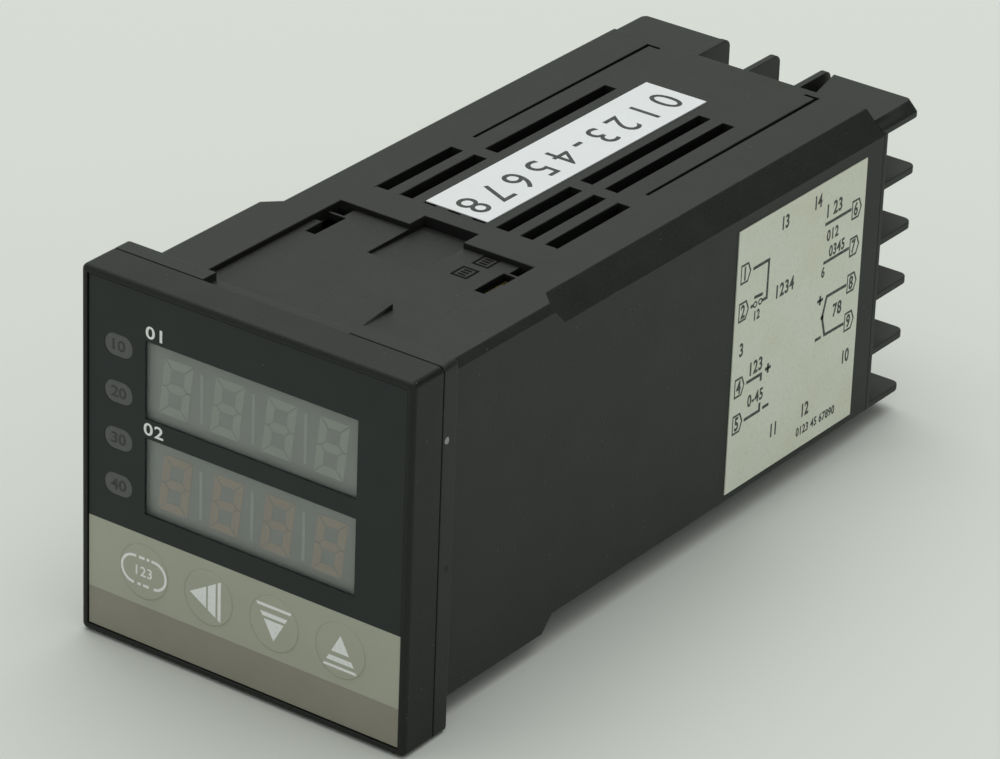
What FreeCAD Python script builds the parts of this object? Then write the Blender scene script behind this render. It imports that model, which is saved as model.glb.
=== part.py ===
import FreeCAD, Part
import os
import Sketcher
from FreeCAD import Placement, Rotation, Vector

# Panel temperature controller of the 48 mm square format, in millimetres.
# The case stays in the panel and the works draw out of it to the front.
# Sizes are measured from the panel face along the depth (+Y to the rear) and from the axis of the
# front across it. Each finished piece is then shifted so that the part stands on Z = 0 with the
# middle of its outline at X = Y = 0.

SIZES = {
    # Front frame, flange and case
    "bezel_width": 48.0,
    "bezel_height": 48.0,
    "frame_depth": 5.5,
    "seam_gap": 0.2,
    "flange_thickness": 2.45,
    "flange_lip": 1.95,
    "corner_radius": 0.8,
    "edge_radius": 0.7,
    "case_length": 91.5,
    "case_wall": 1.8,
    "front_chamfer": 0.9,
    "rear_chamfer": 2.9,
    "inner_chamfer": 1.9,
    "chamfer_start": 21.4,
    "chamfer_run": 2.0,
    # Bracket seat in the top and the bottom of the case
    "recess_width": 28.4,
    "recess_depth": 0.75,
    "recess_length": 28.0,
    "notch_width": 21.1,
    "notch_depth": 1.0,
    "pad_width": 7.5,
    "pad_start": 2.5,
    "pad_length": 7.2,
    "ramp_width": 7.9,
    "ramp_start": 19.9,
    "ramp_length": 11.1,
    "ramp_step": 0.4,
    "ramp_depth": 1.5,
    "catch_width": 1.5,
    "catch_wall_gap": 1.1,
    "catch_start": 19.7,
    "catch_length": 5.9,
    "catch_heel": 2.6,
    "corner_window": 2.1,
    # Vents and grooves
    "vent_width": 1.8,
    "vent_pitch": 3.55,
    "front_vent_start": 33.7,
    "front_vent_length": 15.0,
    "vent_row_gap": 2.15,
    "rear_vent_length": 25.2,
    "groove_offset": 13.1,
    "groove_width": 0.5,
    "groove_depth": 0.5,
    "groove_length": 37.4,
    "groove_rear_gap": 1.4,
    "groove_tick": 1.6,
    # Paper on the case
    "label_length": 28.3,
    "label_height": 35.7,
    "label_rear_gap": 3.9,
    "label_drop": 0.3,
    "sticker_width": 9.1,
    "sticker_length": 45.8,
    "sticker_start": 34.1,
    "sticker_offset": 1.6,
    "paper_thickness": 0.12,
    # Terminal block and terminals
    "fin_length": 8.9,
    "fin_thickness": 0.95,
    "fin_radius": 1.2,
    "fin_inset": 0.9,
    "fin_side_inset": 0.4,
    "terminal_pitch": 7.7,
    "cell_margin": 1.7,
    "ledge_chamfer": 1.6,
    "ledge_drop": 0.35,
    "slot_mouth": 2.5,
    "slot_taper": 2.0,
    "slot_depth": 3.4,
    "lip_width": 1.2,
    "lip_depth": 0.8,
    "block_plug": 3.0,
    "block_fit": 0.1,
    "centre_recess": 4.0,
    "centre_margin": 1.4,
    "plate_thickness": 0.8,
    "plate_width": 5.8,
    "plate_reach": 3.6,
    "leg_width": 4.0,
    "leg_length": 9.0,
    "leg_gap": 0.2,
    "leg_to_screw": 3.0,
    "screw_inset": 5.2,
    "washer_side": 5.6,
    "washer_thickness": 0.8,
    "screw_diameter": 3.0,
    "screw_length": 6.0,
    "screw_play": 0.1,
    "bore_play": 0.2,
    "head_diameter": 5.5,
    "head_height": 2.0,
    "head_crown": 0.5,
    "cross_width": 0.9,
    "cross_length": 3.2,
    "cross_depth": 1.1,
    # Front of the works
    "rim_width": 0.95,
    "film_setback": 0.25,
    "film_thickness": 0.35,
    "film_gap": 0.15,
    "front_wall": 2.0,
    "side_wall": 1.5,
    "rear_web": 1.2,
    "filter_thickness": 0.8,
    "filter_margin": 1.0,
    "filter_gap": 0.1,
    "lamp_width": 4.15,
    "lamp_height": 2.85,
    "lamp_flat": 0.1,
    "lamp_inset": 5.5,
    "lamp_top_gap": 1.9,
    "lamp_bottom_gap": 2.5,
    "window_gap": 1.9,
    "window_margin": 7.8,
    "window_drop": 7.1,
    "window_spacing": 2.45,
    "key_zone": 18.4,
    "display_margin": 0.4,
    "display_gap": 0.2,
    "guide_gap": 0.1,
    "led_width": 1.6,
    "led_height": 2.4,
    "led_gap": 0.1,
    "skirt_length": 9.5,
    "skirt_wall": 1.2,
    "skirt_gap": 0.3,
    "shelf_width": 24.0,
    "shelf_height": 0.9,
    # Keys
    "key_diameter": 7.1,
    "key_gap": 0.12,
    "key_inset": 9.5,
    "key_height": 10.75,
    "key_rise": 0.1,
    "key_edge": 0.12,
    "plunger_gap": 0.3,
    "collar_width": 0.4,
    "collar_thickness": 0.6,
    "collar_gap": 0.05,
    "stem_diameter": 3.0,
    "stem_length": 0.6,
    "switch_side": 6.0,
    "switch_height": 3.5,
    "button_diameter": 3.4,
    "button_gap": 0.1,
    "button_rise": 1.0,
    "button_seat": 1.2,
    "button_room": 0.5,
    # Boards and what they carry
    "board_thickness": 1.6,
    "board_gap": 0.2,
    "board_end_gap": 3.0,
    "header_width": 2.5,
    "header_height": 25.0,
    "spacer_length": 4.0,
    "spacer_height": 8.0,
    "spacer_inset": 6.0,
    "part_gap": 2.0,
    "core_length": 16.0,
    "core_height": 13.0,
    "core_width": 5.0,
    "coil_length": 11.0,
    "coil_height": 17.0,
    "coil_width": 13.5,
    "bulk_diameter": 12.0,
    "bulk_length": 17.0,
    "bulk_start": 14.0,
    "bulk_rise": 8.0,
    "output_diameter": 8.0,
    "output_length": 11.0,
    "output_rise": 10.0,
    "output_gap": 1.0,
    "relay_length": 18.0,
    "relay_width": 14.0,
    "relay_height": 9.0,
    "relay_drop": 11.0,
    "relay_start": 16.0,
    "processor_side": 13.0,
    "processor_thickness": 2.0,
    "processor_start": 28.0,
    "memory_length": 5.0,
    "memory_height": 4.0,
    "memory_thickness": 1.5,
}

FRONT_VENT_COUNT = 8
REAR_VENT_COUNT = 6
SIDE_TERMINAL_COUNT = 5
END_TERMINAL_COUNT = 2
LAMP_COUNT = 4
OUTPUT_CAPACITOR_COUNT = 2
KEYS = ("set", "shift", "down", "up")

doc = FreeCAD.newDocument("panel_temperature_controller")
dims = doc.addObject("Spreadsheet::Sheet", "dims")
for row, (alias, size) in enumerate(SIZES.items(), start=1):
    dims.set(f"A{row}", alias)
    dims.set(f"B{row}", str(size))
    dims.setAlias(f"B{row}", alias)
doc.recompute()

# Planes along the depth, with the panel face at zero
FRAME_BACK = "(-dims.flange_thickness - dims.seam_gap)"
FRONT = f"({FRAME_BACK} - dims.frame_depth)"
FLANGE_FRONT = "(-dims.flange_thickness)"
CASE_END = "dims.case_length"
FIN_TIP = "(dims.case_length + dims.fin_length)"
FILM_FRONT = f"({FRONT} + dims.film_setback)"
FILM_BACK = f"({FILM_FRONT} + dims.film_thickness)"
FILTER_BACK = f"({FILM_BACK} + dims.filter_thickness)"
WALL_BACK = f"({FILM_BACK} + dims.front_wall)"
WEB_FRONT = f"({FRAME_BACK} - dims.rear_web)"
COLLAR_FRONT = f"({WALL_BACK} + dims.collar_gap)"
COLLAR_BACK = f"({COLLAR_FRONT} + dims.collar_thickness)"
BUTTON_FRONT = f"({COLLAR_BACK} + dims.stem_length)"
SWITCH_FRONT = f"({BUTTON_FRONT} + dims.button_rise)"
BOARD_FRONT = f"({SWITCH_FRONT} + dims.switch_height)"
BOARD_BACK = f"({BOARD_FRONT} + dims.board_thickness)"
BOARD_END = "(dims.case_length - dims.block_plug - dims.board_end_gap)"
TRANSFORMER_START = "(dims.relay_start + dims.relay_length + dims.part_gap)"
OUTPUT_START = f"({TRANSFORMER_START} + dims.core_length + dims.part_gap)"

# Half widths and half heights from the axis
BEZEL_X = "(dims.bezel_width / 2)"
BEZEL_Z = "(dims.bezel_height / 2)"
BODY_X = f"({BEZEL_X} - dims.flange_lip)"
BODY_Z = f"({BEZEL_Z} - dims.flange_lip)"
BLOCK_X = f"({BODY_X} - dims.fin_side_inset)"
BLOCK_Z = f"({BODY_Z} - dims.fin_inset)"
CAVITY_X = f"({BODY_X} - dims.case_wall)"
CAVITY_Z = f"({BODY_Z} - dims.case_wall)"
SKIRT_X = f"({CAVITY_X} - dims.skirt_gap)"
SKIRT_Z = f"({CAVITY_Z} - dims.skirt_gap)"
SKIRT_INNER_X = f"({SKIRT_X} - dims.skirt_wall)"
SKIRT_INNER_Z = f"({SKIRT_Z} - dims.skirt_wall)"
BOARD_X = f"({SKIRT_INNER_X} - dims.board_gap)"
BOARD_Z = f"({SKIRT_INNER_Z} - dims.board_gap)"
FILM_X = f"({BEZEL_X} - dims.rim_width - dims.film_gap)"
FILM_Z = f"({BEZEL_Z} - dims.rim_width - dims.film_gap)"
LAMP_X = f"(-{BEZEL_X} + dims.lamp_inset)"
WINDOW_LEFT = f"({LAMP_X} + dims.lamp_width / 2 + dims.window_gap)"
WINDOW_WIDTH = f"({BEZEL_X} - dims.window_margin - {WINDOW_LEFT})"
WINDOW_X = f"({WINDOW_LEFT} + {WINDOW_WIDTH} / 2)"
WINDOW_TOP = f"({BEZEL_Z} - dims.window_drop)"
WINDOW_BOTTOM = f"(-{BEZEL_Z} + dims.key_zone)"
WINDOW_HEIGHT = f"(({WINDOW_TOP} - {WINDOW_BOTTOM} - dims.window_spacing) / 2)"
UPPER_Z = f"({WINDOW_TOP} - {WINDOW_HEIGHT} / 2)"
LOWER_Z = f"({WINDOW_BOTTOM} + {WINDOW_HEIGHT} / 2)"
LAMP_TOP = f"({WINDOW_TOP} - dims.lamp_top_gap)"
LAMP_PITCH = f"(({LAMP_TOP} - {WINDOW_BOTTOM} - dims.lamp_bottom_gap) / {LAMP_COUNT - 1})"
KEY_HOLE = "(dims.key_diameter + 2 * dims.key_gap)"
KEY_PITCH = f"((dims.bezel_width - 2 * dims.key_inset) / {len(KEYS) - 1})"
KEY_Z = f"(-{BEZEL_Z} + dims.key_height)"
SCREW_X = f"({BODY_X} - dims.screw_inset)"
SCREW_Z = f"({BODY_Z} - dims.screw_inset)"
LEG_TO_SCREW = "(dims.leg_to_screw + dims.plate_thickness)"
BOARD_OUTER = f"({SCREW_X} - {LEG_TO_SCREW} - dims.leg_gap)"
BOARD_INNER = f"({BOARD_OUTER} - dims.board_thickness)"

# Shift from the panel face and axis to the frame of the finished part
SHIFT_Y = f"(-({FRONT} + {FIN_TIP}) / 2)"
SHIFT_Z = BEZEL_Z

FULL_TURN = 360.0
SAME_LENGTH = 1e-4
PLANES = {"XY_Plane": 1, "XZ_Plane": -1, "YZ_Plane": 1}
NODES = []


def value(formula):
    """Number that a formula on the sheet gives."""
    return float(dims.evalExpression(formula))


def node(label, piece):
    """Register a finished piece under its node name."""
    piece.Label = label
    NODES.append(piece)
    return piece


def place(piece, x="0", y="0", z="0"):
    """Tie a piece's place, measured from the panel face and the axis, to the sheet."""
    piece.setExpression("Placement.Base.x", x)
    piece.setExpression("Placement.Base.y", f"{y} + {SHIFT_Y}")
    piece.setExpression("Placement.Base.z", f"{z} + {SHIFT_Z}")


def new_body(name):
    """Empty solid body whose own zero is the panel face on the axis."""
    body = doc.addObject("PartDesign::Body", name)
    place(body)
    return body


def new_sketch(body, name, role, height):
    """Sketch on one of the body's own planes, moved along that plane's axis by a formula."""
    sketch = body.newObject("Sketcher::SketchObject", name)
    plane = [part for part in body.Origin.OriginFeatures if part.Role == role][0]
    sketch.AttachmentSupport = [(plane, "")]
    sketch.MapMode = "FlatFace"
    sketch.setExpression("AttachmentOffset.Base.z", f"{PLANES[role]} * ({height})")
    return sketch


def hold(sketch, geometry, vertex, across, up):
    """Tie a point of a sketch to its two formulas, measured from the sketch's origin."""
    first = sketch.ConstraintCount
    sketch.addConstraint([Sketcher.Constraint("DistanceX", -1, 1, geometry, vertex, value(across)),
                          Sketcher.Constraint("DistanceY", -1, 1, geometry, vertex, value(up))])
    sketch.setExpression(f"Constraints[{first}]", across)
    sketch.setExpression(f"Constraints[{first + 1}]", up)


def outline(sketch, corners):
    """Closed outline through corners, each held by its two formulas."""
    points = [Vector(value(across), value(up), 0) for across, up in corners]
    first = sketch.GeometryCount
    count = len(points)
    sketch.addGeometry([Part.LineSegment(points[i], points[(i + 1) % count]) for i in range(count)])
    sketch.addConstraint([Sketcher.Constraint("Coincident", first + i, 2, first + (i + 1) % count, 1)
                          for i in range(count)])
    for i, (across, up) in enumerate(corners):
        hold(sketch, first + i, 1, across, up)


def rectangle(sketch, across, up):
    """Rectangle between two pairs of low and high formulas."""
    outline(sketch, [(across[0], up[0]), (across[1], up[0]), (across[1], up[1]), (across[0], up[1])])


def middle_rectangle(sketch, half_across, half_up):
    """Rectangle round the axis."""
    rectangle(sketch, (f"-{half_across}", half_across), (f"-{half_up}", half_up))


def octagon(sketch, half_across, half_up, chamfer):
    """Rectangle round the axis with its corners cut off."""
    near_x = f"({half_across} - {chamfer})"
    near_z = f"({half_up} - {chamfer})"
    outline(sketch, [
        (f"-{near_x}", f"-{half_up}"), (near_x, f"-{half_up}"),
        (half_across, f"-{near_z}"), (half_across, near_z),
        (near_x, half_up), (f"-{near_x}", half_up),
        (f"-{half_across}", near_z), (f"-{half_across}", f"-{near_z}"),
    ])


def circle(sketch, across, up, diameter):
    """Circle held by its centre and its diameter."""
    centre = Vector(value(across), value(up), 0)
    index = sketch.addGeometry(Part.Circle(centre, Vector(0, 0, 1), value(diameter) / 2))
    hold(sketch, index, 3, across, up)
    constraint = sketch.addConstraint(Sketcher.Constraint("Diameter", index, value(diameter)))
    sketch.setExpression(f"Constraints[{constraint}]", diameter)


def extrude(body, kind, sketch, length, forward):
    """Pad or Pocket of a sketch, along the part's own axis when forward, else against it."""
    feature = body.newObject(f"PartDesign::{kind}", f"{sketch.Name}_{kind.lower()}")
    feature.Profile = sketch
    feature.setExpression("Length", length)
    normal = PLANES[sketch.AttachmentSupport[0][0].Role]
    with_normal = (normal > 0) == forward
    feature.Reversed = with_normal if kind == "Pocket" else not with_normal
    doc.recompute()
    before = feature.BaseFeature.Shape.Volume if feature.BaseFeature else 0.0
    if (feature.Shape.Volume < before) != (kind == "Pocket"):
        raise ValueError(f"{feature.Name} points away from its body")
    return feature


def pad(body, sketch, length, forward=True):
    """Add the sketch's prism to the body."""
    return extrude(body, "Pad", sketch, length, forward)


def pocket(body, sketch, length, forward=True):
    """Take the sketch's prism out of the body."""
    return extrude(body, "Pocket", sketch, length, forward)


def edges_where(shape, wanted):
    """Names of the straight edges that pass a test on their two ends."""
    names = []
    for index, edge in enumerate(shape.Edges, start=1):
        start, end = edge.Vertexes[0].Point, edge.Vertexes[-1].Point
        if edge.Curve.TypeId == "Part::GeomLine" and wanted(start, end):
            names.append(f"Edge{index}")
    return names


def round_edges(body, name, radius, wanted):
    """Fillet the straight edges of the body's last feature that pass a test."""
    doc.recompute()
    base = body.Tip
    names = edges_where(base.Shape, wanted)
    fillet = body.newObject("PartDesign::Fillet", name)
    fillet.Base = (base, names)
    fillet.setExpression("Radius", radius)
    doc.recompute()
    return fillet


def near(first, second):
    """Whether two lengths are the same for picking an edge."""
    return abs(first - second) < SAME_LENGTH


def along_depth(start, end):
    """Whether an edge runs along the depth."""
    return near(start.x, end.x) and near(start.z, end.z)


def box(name, x, y, z):
    """Box between pairs of low and high formulas."""
    solid = doc.addObject("Part::Box", name)
    for size, (low, high) in zip(("Length", "Width", "Height"), (x, y, z)):
        solid.setExpression(size, f"({high}) - ({low})")
    place(solid, x[0], y[0], z[0])
    return solid


def rod(name, x, y, z, diameter, along):
    """Cylinder along Y or X, whose pair of formulas gives its ends."""
    solid = doc.addObject("Part::Cylinder", name)
    low, high = y if along == "Y" else x
    solid.setExpression("Radius", f"({diameter}) / 2")
    solid.setExpression("Height", f"({high}) - ({low})")
    turn = Rotation(Vector(1, 0, 0), -90) if along == "Y" else Rotation(Vector(0, 1, 0), 90)
    solid.Placement = Placement(Vector(), turn)
    place(solid, low if along == "X" else x, low if along == "Y" else y, z)
    return solid


def cut(name, base, tools):
    """A base with one or more tools taken out of it."""
    tool = tools[0]
    if len(tools) > 1:
        tool = doc.addObject("Part::Compound", f"{name}_tools")
        tool.Links = tools
    result = doc.addObject("Part::Cut", name)
    result.Base = base
    result.Tool = tool
    return result


def fuse(name, pieces):
    """Pieces joined to one solid."""
    result = doc.addObject("Part::MultiFuse", name)
    result.Shapes = pieces
    result.Refine = True
    return result


def group(name, pieces):
    """Separate solids that share a node."""
    result = doc.addObject("Part::Compound", name)
    result.Links = pieces
    return result


def centred(index, count, pitch):
    """Formula for one place in a row that is centred on the axis."""
    return f"({index - (count - 1) / 2} * {pitch})"


def key_places():
    """Name, X and Z of each key, from left to right."""
    return [(key, centred(i, len(KEYS), KEY_PITCH), KEY_Z) for i, key in enumerate(KEYS)]


def lamp_places():
    """X and Z of each lamp, from the top to the bottom."""
    return [(LAMP_X, f"({LAMP_TOP} - {i} * {LAMP_PITCH})") for i in range(LAMP_COUNT)]


def window_places():
    """Name and Z of the two display windows."""
    return [("upper", UPPER_Z), ("lower", LOWER_Z)]


def around(centre, size):
    """Pair of formulas that lies half a size to each side of a centre."""
    return (f"({centre} - ({size}) / 2)", f"({centre} + ({size}) / 2)")


def terminal_places():
    """X, Z and turn about Y of each terminal; unturned, its leg lies towards -X."""
    places = []
    for i in range(SIDE_TERMINAL_COUNT):
        row_z = centred(i, SIDE_TERMINAL_COUNT, "dims.terminal_pitch")
        places.append((SCREW_X, row_z, 0))
        places.append((f"(-{SCREW_X})", row_z, 180))
    for i in range(END_TERMINAL_COUNT):
        column_x = centred(i, END_TERMINAL_COUNT, "dims.terminal_pitch")
        places.append((column_x, SCREW_Z, -90))
        places.append((column_x, f"(-{SCREW_Z})", 90))
    return places


def terminal_rectangle(sketch, at, inner, outer, width):
    """Rectangle at a terminal, from inner to outer of its screw and of a width across that."""
    x, z, turn = at
    if turn in (0, 180):
        sign = "+" if turn == 0 else "-"
        rectangle(sketch, (f"({x} {sign} {inner})", f"({x} {sign} {outer})"), around(z, width))
    else:
        sign = "+" if turn == -90 else "-"
        rectangle(sketch, around(x, width), (f"({z} {sign} {inner})", f"({z} {sign} {outer})"))


def make_case_shell():
    """Moulded tube with its flange, the bracket seats, the vents and the chamfered edges."""
    body = new_body("case_shell")
    neck_end = "dims.chamfer_start"
    run_end = "(dims.chamfer_start + dims.chamfer_run)"

    neck = new_sketch(body, "case_neck", "XZ_Plane", FLANGE_FRONT)
    octagon(neck, BODY_X, BODY_Z, "dims.front_chamfer")
    pad(body, neck, f"{neck_end} - {FLANGE_FRONT}")

    run_front = new_sketch(body, "case_run_front", "XZ_Plane", neck_end)
    octagon(run_front, BODY_X, BODY_Z, "dims.front_chamfer")
    run_rear = new_sketch(body, "case_run_rear", "XZ_Plane", run_end)
    octagon(run_rear, BODY_X, BODY_Z, "dims.rear_chamfer")
    doc.recompute()
    run = body.newObject("PartDesign::AdditiveLoft", "case_run")
    run.Profile = run_front
    run.Sections = [run_rear]
    run.Ruled = True

    tail = new_sketch(body, "case_tail", "XZ_Plane", run_end)
    octagon(tail, BODY_X, BODY_Z, "dims.rear_chamfer")
    pad(body, tail, f"{CASE_END} - {run_end}")

    flange = new_sketch(body, "case_flange", "XZ_Plane", FLANGE_FRONT)
    middle_rectangle(flange, BEZEL_X, BEZEL_Z)
    pad(body, flange, "dims.flange_thickness")

    def flange_corner(start, end):
        return along_depth(start, end) and near(abs(start.x), value(BEZEL_X))

    round_edges(body, "flange_corners", "dims.corner_radius", flange_corner)

    cavity = new_sketch(body, "case_cavity", "XZ_Plane", FLANGE_FRONT)
    octagon(cavity, CAVITY_X, CAVITY_Z, "dims.inner_chamfer")
    pocket(body, cavity, f"{CASE_END} - {FLANGE_FRONT}")

    top_cuts = [cut_bracket_recess(body), cut_pad_slope(body), cut_flange_notch(body), cut_ramp(body),
                cut_catches(body), cut_vents(body), cut_grooves(body)]
    mirror = body.newObject("PartDesign::Mirrored", "bottom_cuts")
    mirror.Originals = top_cuts
    level = [part for part in body.Origin.OriginFeatures if part.Role == "XY_Plane"][0]
    mirror.MirrorPlane = (level, [""])
    body.Tip = mirror
    return node("case_shell", body)


def cut_bracket_recess(body):
    """Shallow seat for the mounting bracket, with its raised pad left standing."""
    sketch = new_sketch(body, "bracket_recess", "XY_Plane", BODY_Z)
    half = "(dims.recess_width / 2)"
    rectangle(sketch, (f"-{half}", half), ("0", "dims.recess_length"))
    rectangle(sketch, ("0", "dims.pad_width"), ("dims.pad_start", "(dims.pad_start + dims.pad_length)"))
    return pocket(body, sketch, "dims.recess_depth", forward=False)


def cut_pad_slope(body):
    """Slope on the pad, from the seat's floor at its front to the case's own face at its rear."""
    sketch = new_sketch(body, "pad_slope", "YZ_Plane", "0")
    outline(sketch, [("dims.pad_start", f"({BODY_Z} - dims.recess_depth)"),
                     ("(dims.pad_start + dims.pad_length)", BODY_Z), ("dims.pad_start", BODY_Z)])
    return pocket(body, sketch, "dims.pad_width")


def cut_flange_notch(body):
    """Opening in the flange in front of the bracket seat."""
    sketch = new_sketch(body, "flange_notch", "XY_Plane", BEZEL_Z)
    half = "(dims.notch_width / 2)"
    rectangle(sketch, (f"-{half}", half), (FLANGE_FRONT, "0"))
    return pocket(body, sketch, "dims.notch_depth", forward=False)


def cut_ramp(body):
    """Sloped pocket in the middle of the seat: a step down at its front, deepest at its rear."""
    half = "(dims.ramp_width / 2)"
    end = "(dims.ramp_start + dims.ramp_length)"
    sketch = new_sketch(body, "bracket_ramp", "YZ_Plane", f"-{half}")
    outline(sketch, [("dims.ramp_start", f"({BODY_Z} - dims.recess_depth - dims.ramp_step)"),
                     (end, f"({BODY_Z} - dims.ramp_depth)"),
                     (end, BODY_Z), ("dims.ramp_start", BODY_Z)])
    return pocket(body, sketch, "dims.ramp_width")


def cut_catches(body):
    """Slots for the bracket's catches on both sides of the seat, and the windows in its corners."""
    sketch = new_sketch(body, "bracket_catches", "XY_Plane", BODY_Z)
    wall = "(dims.recess_width / 2)"
    outer = f"({wall} - dims.catch_wall_gap)"
    inner = f"({outer} - dims.catch_width)"
    end = "(dims.catch_start + dims.catch_length)"
    heel = f"({end} - dims.catch_heel)"
    window_start = "(dims.recess_length - dims.corner_window)"
    for side in ("", "-"):
        outline(sketch, [(f"{side}{inner}", "dims.catch_start"), (f"{side}{outer}", "dims.catch_start"),
                         (f"{side}{outer}", heel), (f"{side}{wall}", heel),
                         (f"{side}{wall}", end), (f"{side}{inner}", end)])
        rectangle(sketch, (f"{side}({wall} - dims.corner_window)", f"{side}{wall}"),
                  (window_start, "dims.recess_length"))
    return pocket(body, sketch, "dims.case_wall", forward=False)


def cut_vents(body):
    """Two rows of vent slots along the depth."""
    sketch = new_sketch(body, "vent_slots", "XY_Plane", BODY_Z)
    front_end = "(dims.front_vent_start + dims.front_vent_length)"
    rear_start = f"({front_end} + dims.vent_row_gap)"
    rows = ((FRONT_VENT_COUNT, "dims.front_vent_start", front_end),
            (REAR_VENT_COUNT, rear_start, f"({rear_start} + dims.rear_vent_length)"))
    for count, start, end in rows:
        for i in range(count):
            rectangle(sketch, around(centred(i, count, "dims.vent_pitch"), "dims.vent_width"), (start, end))
    return pocket(body, sketch, "dims.case_wall", forward=False)


def cut_grooves(body):
    """Thin grooves beside the vents, each with a tick at its rear end."""
    sketch = new_sketch(body, "side_grooves", "XY_Plane", BODY_Z)
    end = f"({CASE_END} - dims.groove_rear_gap)"
    start = f"({end} - dims.groove_length)"
    tick = f"({end} - dims.groove_width)"
    outer = "dims.groove_offset"
    inner = "(dims.groove_offset - dims.groove_width)"
    for side in ("", "-"):
        outline(sketch, [(f"{side}{inner}", start), (f"{side}{outer}", start), (f"{side}{outer}", end),
                         (f"{side}({inner} - dims.groove_tick)", end),
                         (f"{side}({inner} - dims.groove_tick)", tick), (f"{side}{inner}", tick)])
    return pocket(body, sketch, "dims.groove_depth", forward=False)


def make_terminal_block():
    """Rear moulding: a plug in the case's end, and the cells between barrier fins behind it."""
    body = new_body("terminal_block")
    barrier = new_sketch(body, "block_barrier", "XZ_Plane", CASE_END)
    octagon(barrier, BLOCK_X, BLOCK_Z, "dims.ledge_chamfer")
    pad(body, barrier, "dims.fin_length")

    def tip_edge(start, end):
        return near(start.y, value(FIN_TIP)) and near(end.y, value(FIN_TIP))

    round_edges(body, "fin_tips", "dims.fin_radius", tip_edge)

    plug = new_sketch(body, "block_plug_section", "XZ_Plane", CASE_END)
    octagon(plug, f"({CAVITY_X} - dims.block_fit)", f"({CAVITY_Z} - dims.block_fit)", "dims.inner_chamfer")
    pad(body, plug, "dims.block_plug", forward=False)

    cells = new_sketch(body, "block_cells", "XZ_Plane", CASE_END)
    cell_inner = f"(-{LEG_TO_SCREW} - dims.cell_margin)"
    cell_outer = "(dims.screw_inset + dims.fin_thickness)"
    for at in terminal_places():
        terminal_rectangle(cells, at, cell_inner, cell_outer, "dims.terminal_pitch - dims.fin_thickness")
    pocket(body, cells, "dims.fin_length")
    shape_block_corners(body)

    centre = new_sketch(body, "block_centre", "XZ_Plane", f"({FIN_TIP} - dims.centre_recess)")
    middle_rectangle(centre, f"({SCREW_X} + {cell_inner} - dims.centre_margin)",
                     f"({SCREW_Z} + {cell_inner} - dims.centre_margin)")
    pocket(body, centre, "dims.centre_recess")

    bores = new_sketch(body, "block_bores", "XZ_Plane", CASE_END)
    legs = new_sketch(body, "block_leg_slots", "XZ_Plane", CASE_END)
    for at in terminal_places():
        circle(bores, at[0], at[1], "dims.screw_diameter + 2 * dims.bore_play")
        terminal_rectangle(legs, at, f"(-{LEG_TO_SCREW} - dims.leg_gap / 2)",
                           "(-dims.leg_to_screw + dims.leg_gap / 2)", "dims.leg_width + dims.leg_gap")
    pocket(body, bores, "dims.block_plug", forward=False)
    pocket(body, legs, "dims.block_plug", forward=False)
    return node("terminal_block", body)


def shape_block_corners(body):
    """Ledges a little below the fins, a tapered slot by the right-hand fin and lips on both sides."""
    fin_face = f"({END_TERMINAL_COUNT / 2} * dims.terminal_pitch + dims.fin_thickness / 2)"
    ledge = f"({BLOCK_Z} - dims.ledge_drop)"
    ledges = new_sketch(body, "block_ledges", "XZ_Plane", CASE_END)
    for side in ("", "-"):
        for end in ("", "-"):
            rectangle(ledges, (f"{side}{fin_face}", f"{side}{BODY_X}"), (f"{end}{ledge}", f"{end}{BODY_Z}"))
    pocket(body, ledges, "dims.fin_length")

    slot = new_sketch(body, "block_slot", "XY_Plane", BLOCK_Z)
    mouth = f"({fin_face} + dims.slot_mouth)"
    outline(slot, [(fin_face, CASE_END), (mouth, CASE_END),
                   (f"({mouth} - dims.slot_taper)", FIN_TIP), (fin_face, FIN_TIP)])
    pocket(body, slot, "dims.slot_depth", forward=False)

    lips = new_sketch(body, "block_lips", "XZ_Plane", CASE_END)
    half = f"({BODY_Z} - dims.rear_chamfer)"
    for side in ("", "-"):
        rectangle(lips, (f"{side}({BODY_X} - dims.lip_width)", f"{side}{BODY_X}"), (f"-{half}", half))
    pad(body, lips, "dims.lip_depth")


def terminal_copies(label, pattern):
    """One copy of a terminal's piece in every cell, on the cell's floor."""
    copies = []
    for i, (x, z, turn) in enumerate(terminal_places(), start=1):
        copy = doc.addObject("App::Link", f"{label}_{i}")
        copy.LinkedObject = pattern
        copy.LinkTransform = False
        copy.Placement = Placement(Vector(), Rotation(Vector(0, 1, 0), turn))
        place(copy, x, CASE_END, z)
        copies.append(copy)
    return node(label, group(label, copies))


def pattern_body(name):
    """Body that is only copied, drawn at zero."""
    return doc.addObject("PartDesign::Body", name)


def make_terminal_plates():
    """Stamped strip: a tab on the cell's floor and a leg through the block to the board."""
    body = pattern_body("plate_pattern")
    inner = f"(-{LEG_TO_SCREW})"
    tab = new_sketch(body, "plate_tab", "XZ_Plane", "0")
    rectangle(tab, (inner, "dims.plate_reach"), around("0", "dims.plate_width"))
    circle(tab, "0", "0", "dims.screw_diameter + 2 * dims.screw_play")
    pad(body, tab, "dims.plate_thickness")
    leg = new_sketch(body, "plate_leg", "XZ_Plane", "0")
    rectangle(leg, (inner, "-dims.leg_to_screw"), around("0", "dims.leg_width"))
    pad(body, leg, "dims.block_plug + dims.leg_length", forward=False)
    return terminal_copies("terminal_plates", body)


def make_clamp_washers():
    """Square washer on each tab."""
    body = pattern_body("washer_pattern")
    sketch = new_sketch(body, "washer_outline", "XZ_Plane", "dims.plate_thickness")
    half = "(dims.washer_side / 2)"
    middle_rectangle(sketch, half, half)
    circle(sketch, "0", "0", "dims.screw_diameter + 2 * dims.screw_play")
    pad(body, sketch, "dims.washer_thickness")
    return terminal_copies("clamp_washers", body)


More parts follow.
